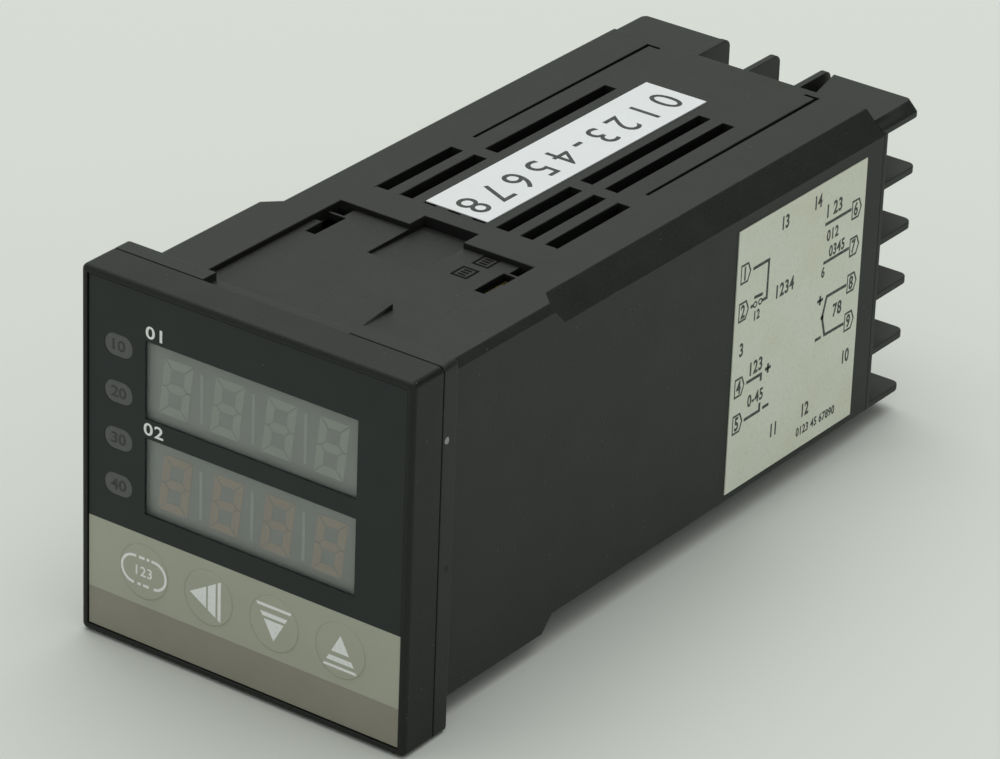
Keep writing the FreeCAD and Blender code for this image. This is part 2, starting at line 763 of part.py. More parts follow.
def make_terminal_screws():
    """Pan head screw with a cross recess, down through washer, tab and block."""
    body = pattern_body("screw_pattern")
    seat = "(dims.plate_thickness + dims.washer_thickness)"
    shoulder = f"({seat} + dims.head_height - dims.head_crown)"
    top = f"({seat} + dims.head_height)"
    profile = new_sketch(body, "screw_profile", "XY_Plane", "0")
    outline(profile, [("0", f"({seat} - dims.screw_length)"),
                      ("(dims.screw_diameter / 2)", f"({seat} - dims.screw_length)"),
                      ("(dims.screw_diameter / 2)", seat), ("(dims.head_diameter / 2)", seat),
                      ("(dims.head_diameter / 2)", shoulder),
                      ("(dims.head_diameter / 2 - dims.head_crown)", top), ("0", top)])
    turned = body.newObject("PartDesign::Revolution", "screw_turned")
    turned.Profile = profile
    turned.ReferenceAxis = (profile, ["V_Axis"])
    turned.Angle = FULL_TURN
    doc.recompute()
    cross = new_sketch(body, "screw_cross", "XZ_Plane", f"({top} - dims.cross_depth)")
    reach = "(dims.cross_length / 2)"
    slim = "(dims.cross_width / 2)"
    outline(cross, [(f"-{slim}", f"-{reach}"), (slim, f"-{reach}"), (slim, f"-{slim}"), (reach, f"-{slim}"),
                    (reach, slim), (slim, slim), (slim, reach), (f"-{slim}", reach),
                    (f"-{slim}", slim), (f"-{reach}", slim), (f"-{reach}", f"-{slim}"),
                    (f"-{slim}", f"-{slim}")])
    pocket(body, cross, "dims.cross_depth")
    return terminal_copies("terminal_screws", body)


def make_papers():
    """Label on the right side and the sticker over the vents."""
    label_end = f"({CASE_END} - dims.label_rear_gap)"
    node("side_label", box("side_label", (BODY_X, f"{BODY_X} + dims.paper_thickness"),
                           (f"({label_end} - dims.label_length)", label_end),
                           around("(-dims.label_drop)", "dims.label_height")))
    node("top_sticker", box("top_sticker", around("(-dims.sticker_offset)", "dims.sticker_width"),
                            ("dims.sticker_start", "(dims.sticker_start + dims.sticker_length)"),
                            (BODY_Z, f"{BODY_Z} + dims.paper_thickness")))


def make_front_frame():
    """Moulded bezel: film recess, front wall with its openings, rear web and guiding skirt."""
    body = new_body("front_frame")
    shell = new_sketch(body, "frame_outline", "XZ_Plane", FRONT)
    middle_rectangle(shell, BEZEL_X, BEZEL_Z)
    pad(body, shell, "dims.frame_depth")
    round_edges(body, "frame_corners", "dims.corner_radius", along_depth)

    front_face = [f"Face{i}" for i, face in enumerate(body.Tip.Shape.Faces, start=1)
                  if near(face.BoundBox.YMax, value(FRONT))]
    edge = body.newObject("PartDesign::Fillet", "frame_front_edge")
    edge.Base = (edge.BaseFeature, front_face)
    edge.setExpression("Radius", "dims.edge_radius")
    doc.recompute()

    seat = new_sketch(body, "film_recess", "XZ_Plane", FRONT)
    middle_rectangle(seat, f"({BEZEL_X} - dims.rim_width)", f"({BEZEL_Z} - dims.rim_width)")
    pocket(body, seat, "dims.film_setback + dims.film_thickness")

    hollow = new_sketch(body, "frame_hollow", "XZ_Plane", FRAME_BACK)
    middle_rectangle(hollow, f"({BEZEL_X} - dims.side_wall)", f"({BEZEL_Z} - dims.side_wall)")
    pocket(body, hollow, f"{FRAME_BACK} - {WALL_BACK}", forward=False)

    web = new_sketch(body, "frame_web", "XZ_Plane", WEB_FRONT)
    middle_rectangle(web, f"({BEZEL_X} - dims.side_wall)", f"({BEZEL_Z} - dims.side_wall)")
    middle_rectangle(web, SKIRT_INNER_X, SKIRT_INNER_Z)
    pad(body, web, "dims.rear_web")

    skirt = new_sketch(body, "frame_skirt", "XZ_Plane", FRAME_BACK)
    octagon(skirt, SKIRT_X, SKIRT_Z, "dims.inner_chamfer")
    middle_rectangle(skirt, SKIRT_INNER_X, SKIRT_INNER_Z)
    pad(body, skirt, "dims.skirt_length")

    filter_seat = new_sketch(body, "filter_seat", "XZ_Plane", FILM_BACK)
    rectangle(filter_seat, *filter_outline("(dims.filter_margin + dims.filter_gap)"))
    pocket(body, filter_seat, "dims.filter_thickness")

    openings = new_sketch(body, "front_openings", "XZ_Plane", FILM_BACK)
    for _, z in window_places():
        rectangle(openings, around(WINDOW_X, display_size(WINDOW_WIDTH, "dims.display_gap")),
                  around(z, display_size(WINDOW_HEIGHT, "dims.display_gap")))
    for x, z in lamp_places():
        rectangle(openings, around(x, "dims.lamp_width"), around(z, "dims.lamp_height"))
    for _, x, z in key_places():
        circle(openings, x, z, KEY_HOLE)
    pocket(body, openings, "dims.front_wall")

    shelves = new_sketch(body, "board_shelves", "XZ_Plane", WEB_FRONT)
    display_top = f"({WINDOW_TOP} + dims.display_margin + dims.display_gap)"
    rectangle(shelves, around("0", "dims.shelf_width"), (display_top, SKIRT_INNER_Z))
    rectangle(shelves, around("0", "dims.shelf_width"),
              (f"-{SKIRT_INNER_Z}", f"({SKIRT_INNER_Z} - dims.shelf_height) * -1"))
    pad(body, shelves, f"{BOARD_FRONT} - {WEB_FRONT}")
    return node("front_frame", body)


def display_size(window_size, gap="0"):
    """Width or height of a display module behind its window, with a gap all round it."""
    return f"({window_size} + 2 * (dims.display_margin + {gap}))"


def filter_outline(margin):
    """Low and high formulas of the smoked plate, which spans the lamps and both windows."""
    left = f"({LAMP_X} - dims.lamp_width / 2 - {margin})"
    right = f"({WINDOW_LEFT} + {WINDOW_WIDTH} + {margin})"
    low = f"({WINDOW_BOTTOM} - {margin})"
    high = f"({WINDOW_TOP} + {margin})"
    return (left, right), (low, high)


def make_overlay_film():
    """Printed film with its windows, its lamp windows and the places of the keys."""
    body = new_body("overlay_film")
    sheet = new_sketch(body, "film_outline", "XZ_Plane", FILM_FRONT)
    middle_rectangle(sheet, FILM_X, FILM_Z)
    for _, z in window_places():
        rectangle(sheet, around(WINDOW_X, WINDOW_WIDTH), around(z, WINDOW_HEIGHT))
    for _, x, z in key_places():
        circle(sheet, x, z, KEY_HOLE)
    pad(body, sheet, "dims.film_thickness")
    lamps = new_sketch(body, "film_lamps", "XZ_Plane", FILM_FRONT)
    for x, z in lamp_places():
        rectangle(lamps, around(x, "dims.lamp_width"), around(z, "dims.lamp_height"))
    pocket(body, lamps, "dims.film_thickness")

    def lamp_corner(start, end):
        ends = [value(side) for side in around(LAMP_X, "dims.lamp_width")]
        return along_depth(start, end) and (near(start.x, ends[0]) or near(start.x, ends[1]))

    round_edges(body, "film_lamp_ends", "(dims.lamp_height - dims.lamp_flat) / 2", lamp_corner)
    return node("overlay_film", body)


def make_display():
    """Smoked plate, display modules, lamps with their guides and the board that carries them."""
    across, up = filter_outline("dims.filter_margin")
    node("window_filter", box("window_filter", across, (FILM_BACK, FILTER_BACK), up))
    for name, z in window_places():
        node(f"{name}_display", box(f"{name}_display", around(WINDOW_X, display_size(WINDOW_WIDTH)),
                                    (FILTER_BACK, BOARD_FRONT), around(z, display_size(WINDOW_HEIGHT))))
    guides = []
    leds = []
    guide_end = f"({WEB_FRONT} - dims.led_gap)"
    led_x = f"(-{BOARD_X} + dims.led_width)"
    for i, (x, z) in enumerate(lamp_places(), start=1):
        guides.append(box(f"lamp_guide_{i}", around(x, "dims.lamp_width - 2 * dims.guide_gap"),
                          (FILTER_BACK, guide_end), around(z, "dims.lamp_height - 2 * dims.guide_gap")))
        leds.append(box(f"lamp_led_{i}", around(led_x, "dims.led_width"), (WEB_FRONT, BOARD_FRONT),
                        around(z, "dims.led_height")))
    node("lamp_guides", group("lamp_guides", guides))
    node("lamp_leds", group("lamp_leds", leds))
    node("display_board", box("display_board", (f"-{BOARD_X}", BOARD_X), (BOARD_FRONT, BOARD_BACK),
                              (f"-{BOARD_Z}", BOARD_Z)))


def make_key_switches():
    """Tact switch housings on the display board, each bored for its button."""
    housings = []
    bottom = f"({SWITCH_FRONT} + dims.button_seat + dims.button_room)"
    for key, x, z in key_places():
        block = box(f"{key}_switch_block", around(x, "dims.switch_side"), (SWITCH_FRONT, BOARD_FRONT),
                    around(z, "dims.switch_side"))
        bore = rod(f"{key}_switch_bore", x, (SWITCH_FRONT, bottom), z,
                   "dims.button_diameter + 2 * dims.button_gap", "Y")
        housings.append(cut(f"{key}_switch", block, [bore]))
    return node("key_switches", group("key_switches", housings))


def turned_body(label, x, z, corners):
    """Piece turned about a line along the depth, from its half section."""
    body = doc.addObject("PartDesign::Body", label)
    place(body, x, "0", z)
    profile = new_sketch(body, f"{label}_profile", "XY_Plane", "0")
    outline(profile, corners)
    turned = body.newObject("PartDesign::Revolution", f"{label}_turned")
    turned.Profile = profile
    turned.ReferenceAxis = (profile, ["V_Axis"])
    turned.Angle = FULL_TURN
    return node(label, body)


def make_key(key, x, z):
    """One key: the film's dome, the plunger behind it and the button of its switch."""
    dome_front = f"({FILM_FRONT} - dims.key_rise)"
    dome_edge = f"({dome_front} + dims.key_edge)"
    radius = "(dims.key_diameter / 2)"
    turned_body(f"{key}_key_dome", x, z, [
        ("0", dome_front), (f"({radius} - dims.key_edge)", dome_front), (radius, dome_edge),
        (radius, FILM_BACK), ("0", FILM_BACK)])
    slim = f"({radius} - dims.plunger_gap)"
    wide = f"({radius} + dims.collar_width)"
    stem = "(dims.stem_diameter / 2)"
    turned_body(f"{key}_key_plunger", x, z, [
        ("0", FILM_BACK), (slim, FILM_BACK), (slim, COLLAR_FRONT), (wide, COLLAR_FRONT),
        (wide, COLLAR_BACK), (stem, COLLAR_BACK), (stem, BUTTON_FRONT), ("0", BUTTON_FRONT)])
    button_back = f"({SWITCH_FRONT} + dims.button_seat)"
    button = "(dims.button_diameter / 2)"
    turned_body(f"{key}_switch_button", x, z, [
        ("0", BUTTON_FRONT), (button, BUTTON_FRONT), (button, button_back), ("0", button_back)])


def make_boards():
    """Boards along the depth, the pin strips that join them and the bridge between their ends."""
    upright = (f"-{BOARD_Z}", BOARD_Z)
    depth = (BOARD_BACK, BOARD_END)
    header_depth = (BOARD_BACK, f"({BOARD_BACK} + dims.header_width)")
    header_inner = f"({BOARD_INNER} - dims.header_width)"
    header_up = around("0", "dims.header_height")
    node("main_board", box("main_board", (f"-{BOARD_OUTER}", f"-{BOARD_INNER}"), depth, upright))
    node("power_board", box("power_board", (BOARD_INNER, BOARD_OUTER), depth, upright))
    node("main_header", box("main_header", (f"-{BOARD_INNER}", f"-{header_inner}"),
                            header_depth, header_up))
    node("power_header", box("power_header", (header_inner, BOARD_INNER),
                             header_depth, header_up))
    spacer_end = f"({BOARD_END} - dims.spacer_inset)"
    node("board_spacer", box("board_spacer", (f"-{BOARD_INNER}", BOARD_INNER),
                             (f"({spacer_end} - dims.spacer_length)", spacer_end),
                             around("0", "dims.spacer_height")))


def make_transformer():
    """Ferrite core round a coil former, both seated on the power board."""
    end = BOARD_INNER
    middle = f"({TRANSFORMER_START} + dims.core_length / 2)"
    former = (f"({BOARD_INNER} - dims.coil_width)", end)
    coil_y = around(middle, "dims.coil_length")
    coil_z = around("0", "dims.coil_height")
    leg = "(dims.core_length - dims.coil_length) / 2"
    core_x = around(f"({BOARD_INNER} - dims.coil_width / 2)", "dims.core_width")
    core_y = around(middle, "dims.core_length")
    core_z = around("0", "dims.core_height")
    tunnel = box("core_tunnel", core_x, coil_y, core_z)
    coil = box("coil_block", former, coil_y, coil_z)
    node("transformer_coil", cut("transformer_coil", coil, [tunnel]))
    bars = [box("core_front", former, (core_y[0], f"({core_y[0]} + {leg})"), core_z),
            box("core_rear", former, (f"({core_y[1]} - {leg})", core_y[1]), core_z),
            box("core_middle", core_x, core_y, core_z)]
    node("transformer_core", fuse("transformer_core", bars))


def make_components():
    """Capacitors, relay and chips, each seated on its board."""
    inner = BOARD_INNER
    bulk_y = "(dims.bulk_start + dims.bulk_diameter / 2)"
    bulk_x = (f"({BOARD_INNER} - dims.bulk_length)", inner)
    node("bulk_capacitor", rod("bulk_capacitor", bulk_x, bulk_y, "dims.bulk_rise",
                               "dims.bulk_diameter", "X"))
    cans = []
    for i in range(OUTPUT_CAPACITOR_COUNT):
        start = f"({OUTPUT_START} + {i} * (dims.output_diameter + dims.output_gap))"
        cans.append(rod(f"output_capacitor_{i + 1}", (f"({BOARD_INNER} - dims.output_length)", inner),
                        f"({start} + dims.output_diameter / 2)", "dims.output_rise",
                        "dims.output_diameter", "X"))
    node("output_capacitors", group("output_capacitors", cans))
    node("alarm_relay", box("alarm_relay", (f"({BOARD_INNER} - dims.relay_width)", inner),
                            ("dims.relay_start", "(dims.relay_start + dims.relay_length)"),
                            around("(-dims.relay_drop)", "dims.relay_height")))
    chip_x = (f"-{BOARD_INNER}", f"(-{BOARD_INNER} + dims.processor_thickness)")
    processor_end = "(dims.processor_start + dims.processor_side)"
    node("processor_chip", box("processor_chip", chip_x, ("dims.processor_start", processor_end),
                               around("0", "dims.processor_side")))
    memory_x = (f"-{BOARD_INNER}", f"(-{BOARD_INNER} + dims.memory_thickness)")
    memory_start = f"({processor_end} + dims.part_gap)"
    memory_end = f"({memory_start} + dims.memory_length)"
    node("memory_chip", box("memory_chip", memory_x, (memory_start, memory_end),
                            around("0", "dims.memory_height")))


def check_and_write():
    """Refuse any failed object or bad shape, then write one file for each node."""
    doc.recompute()
    for item in doc.Objects:
        if "Invalid" in item.State or "Error" in item.State:
            raise ValueError(f"{item.Name} failed: {item.State}")
    for piece in NODES:
        if piece.Shape.isNull() or not piece.Shape.isValid() or not piece.Shape.Solids:
            raise ValueError(f"{piece.Label} has no valid solid")
    os.makedirs("parts", exist_ok=True)
    for piece in NODES:
        piece.Shape.exportStep(f"parts/{piece.Label}.step")
        print(f"{piece.Label}: {len(piece.Shape.Solids)} solid(s), {piece.Shape.Volume:.2f} mm3")


make_case_shell()
make_terminal_block()
make_terminal_plates()
make_clamp_washers()
make_terminal_screws()
make_papers()
make_front_frame()
make_overlay_film()
make_display()
make_key_switches()
for key_name, key_x, key_z in key_places():
    make_key(key_name, key_x, key_z)
make_boards()
make_transformer()
make_components()
check_and_write()
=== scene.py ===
"""Looks of a panel temperature controller of the 48 mm square format.

Sizes are in millimetres of the part's own frame: X to the right of the front, Y to the rear and
Z up from the lowest edge. Every finished mesh is in metres, and so is the studio.
"""
import logging
import math
from dataclasses import dataclass
from enum import Enum
from typing import Any, ClassVar, Iterable, Sequence, Union

import bmesh
import bpy
from mathutils import Matrix, Vector


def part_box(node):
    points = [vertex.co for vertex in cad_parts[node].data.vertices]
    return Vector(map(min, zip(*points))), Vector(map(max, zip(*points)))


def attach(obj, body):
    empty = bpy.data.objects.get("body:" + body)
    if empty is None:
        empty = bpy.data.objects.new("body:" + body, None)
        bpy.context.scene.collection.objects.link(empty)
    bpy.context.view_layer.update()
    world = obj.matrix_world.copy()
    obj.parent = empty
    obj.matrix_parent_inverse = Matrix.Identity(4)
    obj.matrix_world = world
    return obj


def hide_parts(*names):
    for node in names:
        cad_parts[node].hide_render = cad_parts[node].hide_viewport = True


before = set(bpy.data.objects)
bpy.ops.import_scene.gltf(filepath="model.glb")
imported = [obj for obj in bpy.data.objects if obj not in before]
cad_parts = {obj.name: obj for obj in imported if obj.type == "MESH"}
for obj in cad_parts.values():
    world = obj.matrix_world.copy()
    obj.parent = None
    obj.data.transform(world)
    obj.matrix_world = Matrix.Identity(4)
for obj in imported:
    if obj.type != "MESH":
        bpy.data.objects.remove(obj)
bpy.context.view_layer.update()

LOG = logging.getLogger("controller")
MM = 0.001  # a millimetre in metres
INK = 0.02  # thickness of a printed mark, in millimetres
MERGE = 2e-6  # corners this close are one corner, in metres
TERMINAL_PITCH = 7.7  # from one terminal to the next, in millimetres

Point = tuple[float, float]
Triple = tuple[float, float, float]
Colour = Triple
Place = Triple
Value = Union["Wire", float, Sequence[float]]
Shape = bmesh.types.BMesh
Corner = bmesh.types.BMVert
Edge = bmesh.types.BMEdge

BLACK: Colour = (0.0, 0.0, 0.0)
WHITE: Colour = (1.0, 1.0, 1.0)
DUST: Colour = (0.4, 0.41, 0.39)


class Body(Enum):
    """The bodies of the part that pieces ride on."""

    CASE = "case"
    WORKS = "works"
    SET_KEY = "set_key"
    SHIFT_KEY = "shift_key"
    DOWN_KEY = "down_key"
    UP_KEY = "up_key"


class Facing(Enum):
    """Sides of the part that carry print: the reading direction and the upward direction."""

    FRONT = ((1, 0, 0), (0, 0, 1))
    REAR = ((-1, 0, 0), (0, 0, 1))
    RIGHT = ((0, 1, 0), (0, 0, 1))
    TOP_TO_FRONT = ((0, -1, 0), (1, 0, 0))
    EDGEWISE = ((0, 0, 1), (1, 0, 0))


def scaled(colour: Colour, factor: float) -> Colour:
    """The colour with every channel times the factor."""
    return (colour[0] * factor, colour[1] * factor, colour[2] * factor)


def node_box(node: str) -> tuple[Vector, Vector]:
    """Lowest and highest corner of a CAD node, in millimetres."""
    low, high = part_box(node)
    return low / MM, high / MM


def node_middle(node: str) -> Vector:
    """Middle of a CAD node, in millimetres."""
    low, high = node_box(node)
    return (low + high) / 2


def first_of(count: int, middle: float, pitch: float) -> float:
    """Where the first of a centred row of places lies."""
    return middle - pitch * (count - 1) / 2


class Wire:
    """An output socket of a shader tree that takes part in sums."""

    def __init__(self, tree: "ShaderTree", socket: bpy.types.NodeSocket) -> None:
        """Hold the tree and the socket."""
        self.tree = tree
        self.socket = socket

    def _sum(self, operation: str, first: Value, second: Value) -> "Wire":
        """One Math node on two values."""
        return self.tree.node("ShaderNodeMath", {"operation": operation}, {0: first, 1: second})

    def __add__(self, other: Value) -> "Wire":
        """Sum of two values."""
        return self._sum("ADD", self, other)

    def __radd__(self, other: Value) -> "Wire":
        """Sum with a number on the left."""
        return self._sum("ADD", other, self)

    def __sub__(self, other: Value) -> "Wire":
        """Difference of two values."""
        return self._sum("SUBTRACT", self, other)

    def __rsub__(self, other: Value) -> "Wire":
        """Difference from a number on the left."""
        return self._sum("SUBTRACT", other, self)

    def __mul__(self, other: Value) -> "Wire":
        """Product of two values."""
        return self._sum("MULTIPLY", self, other)

    def __rmul__(self, other: Value) -> "Wire":
        """Product with a number on the left."""
        return self._sum("MULTIPLY", other, self)

    def __lt__(self, other: Value) -> "Wire":
        """1 where the value is below the other."""
        return self._sum("LESS_THAN", self, other)

    def __gt__(self, other: Value) -> "Wire":
        """1 where the value is above the other."""
        return self._sum("GREATER_THAN", self, other)

    def __abs__(self) -> "Wire":
        """The value without its sign."""
        return self._sum("ABSOLUTE", self, 0.0)

    def most(self, other: Value) -> "Wire":
        """The larger of two values."""
        return self._sum("MAXIMUM", self, other)

    def swing(self, reach: float) -> "Wire":
        """A noise from 0 to 1 as a swing about zero over that reach."""
        return (self - 0.5) * reach

    def ease(self, low: float, high: float) -> "Wire":
        """Smooth rise from 0 at low to 1 at high."""
        settings = {"interpolation_type": "SMOOTHSTEP"}
        return self.tree.node("ShaderNodeMapRange", settings, {0: self, 1: low, 2: high})


class ShaderTree:
    """The nodes of a material or of the world."""

    def __init__(self, owner: bpy.types.Material | bpy.types.World) -> None:
        """Start with no nodes.

        Args:
            owner: The material or world, whose nodes are cleared.
        """
        owner.use_nodes = True
        self.nodes = owner.node_tree.nodes
        self.links = owner.node_tree.links
        self.nodes.clear()

    def node(
        self,
        kind: str,
        settings: dict[str, Any] | None = None,
        inputs: dict[int | str, Value] | None = None,
        output: int | str = 0,
    ) -> Wire:
        """Add a node.

        Args:
            kind: The node's type.
            settings: Its own settings, set first.
            inputs: Values or links of its sockets.
            output: Which output socket to hand back.

        Returns:
            The output socket as a wire.
        """
        made = self.nodes.new(kind)
        for key, value in (settings or {}).items():
            setattr(made, key, value)
        for key, value in (inputs or {}).items():
            socket = made.inputs[key]
            if isinstance(value, Wire):
                self.links.new(value.socket, socket)
            elif socket.type == "RGBA" and len(value) == 3:
                socket.default_value = (*value, 1.0)
            else:
                socket.default_value = value
        return Wire(self, made.outputs[output])

    def place(self) -> Wire:
        """Object coordinates.

        Returns:
            The place on the piece, in millimetres.
        """
        metres = self.node("ShaderNodeTexCoord", output="Object")
        inputs = {0: metres, "Scale": 1 / MM}
        return self.node("ShaderNodeVectorMath", {"operation": "SCALE"}, inputs)

    def axis(self, place: Wire, index: int) -> Wire:
        """One coordinate of a place."""
        return self.node("ShaderNodeSeparateXYZ", None, {0: place}, index)

    def noise(self, place: Wire, per_mm: float, detail: float = 2.0) -> Wire:
        """Soft noise from 0 to 1 with that many features in a millimetre."""
        inputs = {"Vector": place, "Scale": per_mm, "Detail": detail}
        return self.node("ShaderNodeTexNoise", None, inputs)

    def mix(self, factor: Value, first: Value, second: Value) -> Wire:
        """Colour between first and second.

        Args:
            factor: 0 for the first and 1 for the second.
            first: A colour.
            second: Another.

        Returns:
            The mixed colour.
        """
        # A Mix node's sockets share their names, so the ones for colours go by number.
        inputs = {0: factor, 6: first, 7: second}
        return self.node("ShaderNodeMix", {"data_type": "RGBA"}, inputs, 2)

    def specks(self, place: Wire, per_mm: float, radius: float, share: float) -> Wire:
        """Mask of scattered round specks.

        Args:
            place: Coordinates in millimetres.
            per_mm: Cells in a millimetre.
            radius: Speck radius as a part of a cell.
            share: Part of the cells that have a speck.

        Returns:
            1 on a speck and 0 elsewhere.
        """
        cell = {"Vector": place, "Scale": per_mm}
        near = self.node("ShaderNodeTexVoronoi", None, cell)
        chance = self.axis(self.node("ShaderNodeTexVoronoi", None, cell, "Color"), 0)
        return (near < radius) * (chance < share)

    def end(self, shader: Wire, kind: str = "ShaderNodeOutputMaterial") -> None:
        """Hand the shader to the tree's output node."""
        self.links.new(shader.socket, self.nodes.new(kind).inputs["Surface"])

    def surface(
        self,
        colour: Value,
        roughness: Value,
        height: Wire | None = None,
        relief: float = 0.0,
        more: dict[str, Value] | None = None,
    ) -> None:
        """End the material in one principled surface.

        Args:
            colour: Its base colour.
            roughness: Its roughness.
            height: A height from 0 to 1 that bumps it.
            relief: How far the bump rises, in millimetres.
            more: Its other sockets.
        """
        sockets = {"Base Color": colour, "Roughness": roughness, **(more or {})}
        if height is not None:
            bump = {"Height": height, "Distance": relief * MM}
            sockets["Normal"] = self.node("ShaderNodeBump", None, bump)
        self.end(self.node("ShaderNodeBsdfPrincipled", None, sockets))


@dataclass(frozen=True)
class Finish:
    """A surface finish, made once as a material of its own name."""

    name: str

    def material(self) -> bpy.types.Material:
        """The finish as a material.

        Returns:
            The material, which is made at the first call.
        """
        made = bpy.data.materials.get(self.name)
        if made is None:
            made = bpy.data.materials.new(self.name)
            self.shade(ShaderTree(made))
        return made

    def shade(self, tree: ShaderTree) -> None:
        """Fill the material's tree."""
        raise NotImplementedError


@dataclass(frozen=True)
class Nick:
    """A small spot where a plastic is rubbed or stained."""

    place: Place
    radius: float
    colour: Colour

    RAGGED: ClassVar[float] = 0.5

    def mask(self, tree: ShaderTree, place: Wire, noise: Wire) -> Wire:
        """Mask of the spot.

        Args:
            tree: The material's tree.
            place: Coordinates in millimetres.
            noise: What makes its outline ragged.

        Returns:
            1 on the spot and 0 elsewhere.
        """
        settings = {"operation": "DISTANCE"}
        ends = {0: place, 1: self.place}
        away = tree.node("ShaderNodeVectorMath", settings, ends, "Value")
        return away + noise.swing(self.RAGGED) < self.radius


@dataclass(frozen=True)
class Pockets:
    """Where the upright walls of pockets and slots lie, in the top and bottom of a case; their
    colour is darkened there as painted shade, for the shade that falls in them.

    A wall is upright if the upward part of its normal is below UPRIGHT.
    """

    middle: float
    reach: float
    half_width: float
    front: float
    shade: float

    UPRIGHT: ClassVar[float] = 0.4

    def mask(self, tree: ShaderTree, place: Wire) -> Wire:
        """Mask of the pocket walls that get painted shade.

        Args:
            tree: The material's tree.
            place: Coordinates in millimetres.

        Returns:
            1 on the walls and 0 elsewhere.
        """
        normal = tree.node("ShaderNodeTexCoord", output="Normal")
        upright = abs(tree.axis(normal, 2)) < self.UPRIGHT
        outer = abs(tree.axis(place, 2) - self.middle) > self.reach
        within = (abs(tree.axis(place, 0)) < self.half_width) * (tree.axis(place, 1) > self.front)
        return upright * outer * within


@dataclass(frozen=True)
class MouldedPlastic(Finish):
    """Eroded mould texture with faint flow marks and dust."""

    colour: Colour
    roughness: float = 0.5
    grain: float = 4.0
    relief: float = 0.012
    mottle: float = 0.12
    dust: float = 0.0
    gloss: float = 0.5
    nicks: tuple[Nick, ...] = ()
    pockets: Pockets | None = None

    def shade(self, tree: ShaderTree) -> None:
        """Cloudy tone, fine grain, a few light specks, nicks and pocket walls darkened as painted
        shade.

        Args:
            tree: The material's tree.
        """
        place = tree.place()
        cloud = tree.noise(place, per_mm=0.15, detail=4.0)
        grain = tree.noise(place, self.grain)
        dark, light = (scaled(self.colour, 1 + side * self.mottle) for side in (-1, 1))
        tone = tree.mix(cloud * 0.5 + grain.ease(0.3, 0.7) * 0.5, dark, light)
        # Painted shade: the upright walls of pockets and slots are darkened, standing in for the
        # shade inside them.
        if self.pockets:
            wall = scaled(self.colour, self.pockets.shade)
            tone = tree.mix(self.pockets.mask(tree, place), tone, wall)
        if self.dust:
            specks = tree.specks(place, per_mm=0.55, radius=0.04, share=0.3)
            tone = tree.mix(specks * self.dust, tone, DUST)
        for nick in self.nicks:
            tone = tree.mix(nick.mask(tree, place, grain), tone, nick.colour)
        rough = self.roughness + cloud.swing(0.16) + grain.swing(0.12)
        tree.surface(tone, rough, grain, self.relief, {"Specular IOR Level": self.gloss})


@dataclass(frozen=True)
class WornEdge(Finish):
    """Rubbed plastic along an edge, with lighter scuffs; its tone, a little lighter than the
    plastic beside it, is partly wear and partly a painted highlight along the edge.
    """

    colour: Colour
    scuff: Colour
    roughness: float = 0.45
    gloss: float = 0.5
    relief: float = 0.006

    def shade(self, tree: ShaderTree) -> None:
        """Scuffs of a few millimetres over a smoother tone.

        Args:
            tree: The material's tree.
        """
        place = tree.place()
        rub = tree.noise(place, per_mm=0.35, detail=3.0).ease(0.55, 0.8)
        grain = tree.noise(place, per_mm=3.0)
        tone = tree.mix(rub, self.colour, self.scuff)
        rough = self.roughness + grain.swing(0.14) - rub * 0.06
        tree.surface(tone, rough, grain, self.relief, {"Specular IOR Level": self.gloss})


@dataclass(frozen=True)
class PrintedFilm(Finish):
    """Velvet polyester film printed in three bands of height."""

    upper: Colour
    band: Colour
    foot: Colour
    band_top: float
    band_bottom: float
    roughness: float = 0.5
    gloss: float = 0.28
    relief: float = 0.004
    fleck: Colour = (0.5, 0.5, 0.48)

    def shade(self, tree: ShaderTree) -> None:
        """Bands by height, a fine velvet grain and thin dust.

        Args:
            tree: The material's tree.
        """
        place = tree.place()
        height = tree.axis(place, 2)
        cloud = tree.noise(place, per_mm=0.2, detail=4.0)
        grain = tree.noise(place, per_mm=6.0)
        specks = tree.specks(place, per_mm=0.4, radius=0.03, share=0.25)
        tone = tree.mix(height < self.band_top, self.upper, self.band)
        tone = tree.mix(height < self.band_bottom, tone, self.foot)
        tone = tree.mix(cloud * 0.12, tone, BLACK)
        tone = tree.mix(specks * 0.5, tone, self.fleck)
        rough = self.roughness + cloud.swing(0.1) + grain.swing(0.08)
        tree.surface(tone, rough, grain, self.relief, {"Specular IOR Level": self.gloss})


@dataclass(frozen=True)
class SmokedWindow(Finish):
    """Clear smoked plastic that veils what is behind it, dimmer along the edges that shade it."""

    colour: Colour
    cover: float
    left_edge: float = -99.0
    sills: tuple[float, ...] = ()

    EDGE_REACH: ClassVar[float] = 2.2
    EDGE_SHADE: ClassVar[float] = 0.3
    SILL_FOOT: ClassVar[float] = 0.5
    SILL_REACH: ClassVar[Point] = (-0.2, 1.6)
    SILL_SHADE: ClassVar[float] = 0.35

    def shade(self, tree: ShaderTree) -> None:
        """A veil with a faint cloud in it and a smooth face.

        Args:
            tree: The material's tree.
        """
        place = tree.place()
        cloud = tree.noise(place, per_mm=0.25, detail=3.0)
        edge = tree.axis(place, 0).ease(self.left_edge, self.left_edge + self.EDGE_REACH)
        lit = 1 - self.EDGE_SHADE + edge * self.EDGE_SHADE
        for sill in self.sills:
            above = tree.axis(place, 2) - sill
            dim = (above > -self.SILL_FOOT) * (1 - above.ease(*self.SILL_REACH))
            lit = lit - dim * self.SILL_SHADE
        tone = tree.mix(cloud, scaled(self.colour, 0.96), scaled(self.colour, 1.04))
        cover = self.cover + cloud.swing(0.04)
        tree.surface(tree.mix(lit, BLACK, tone), 0.2 + cloud * 0.08, more={"Alpha": cover})


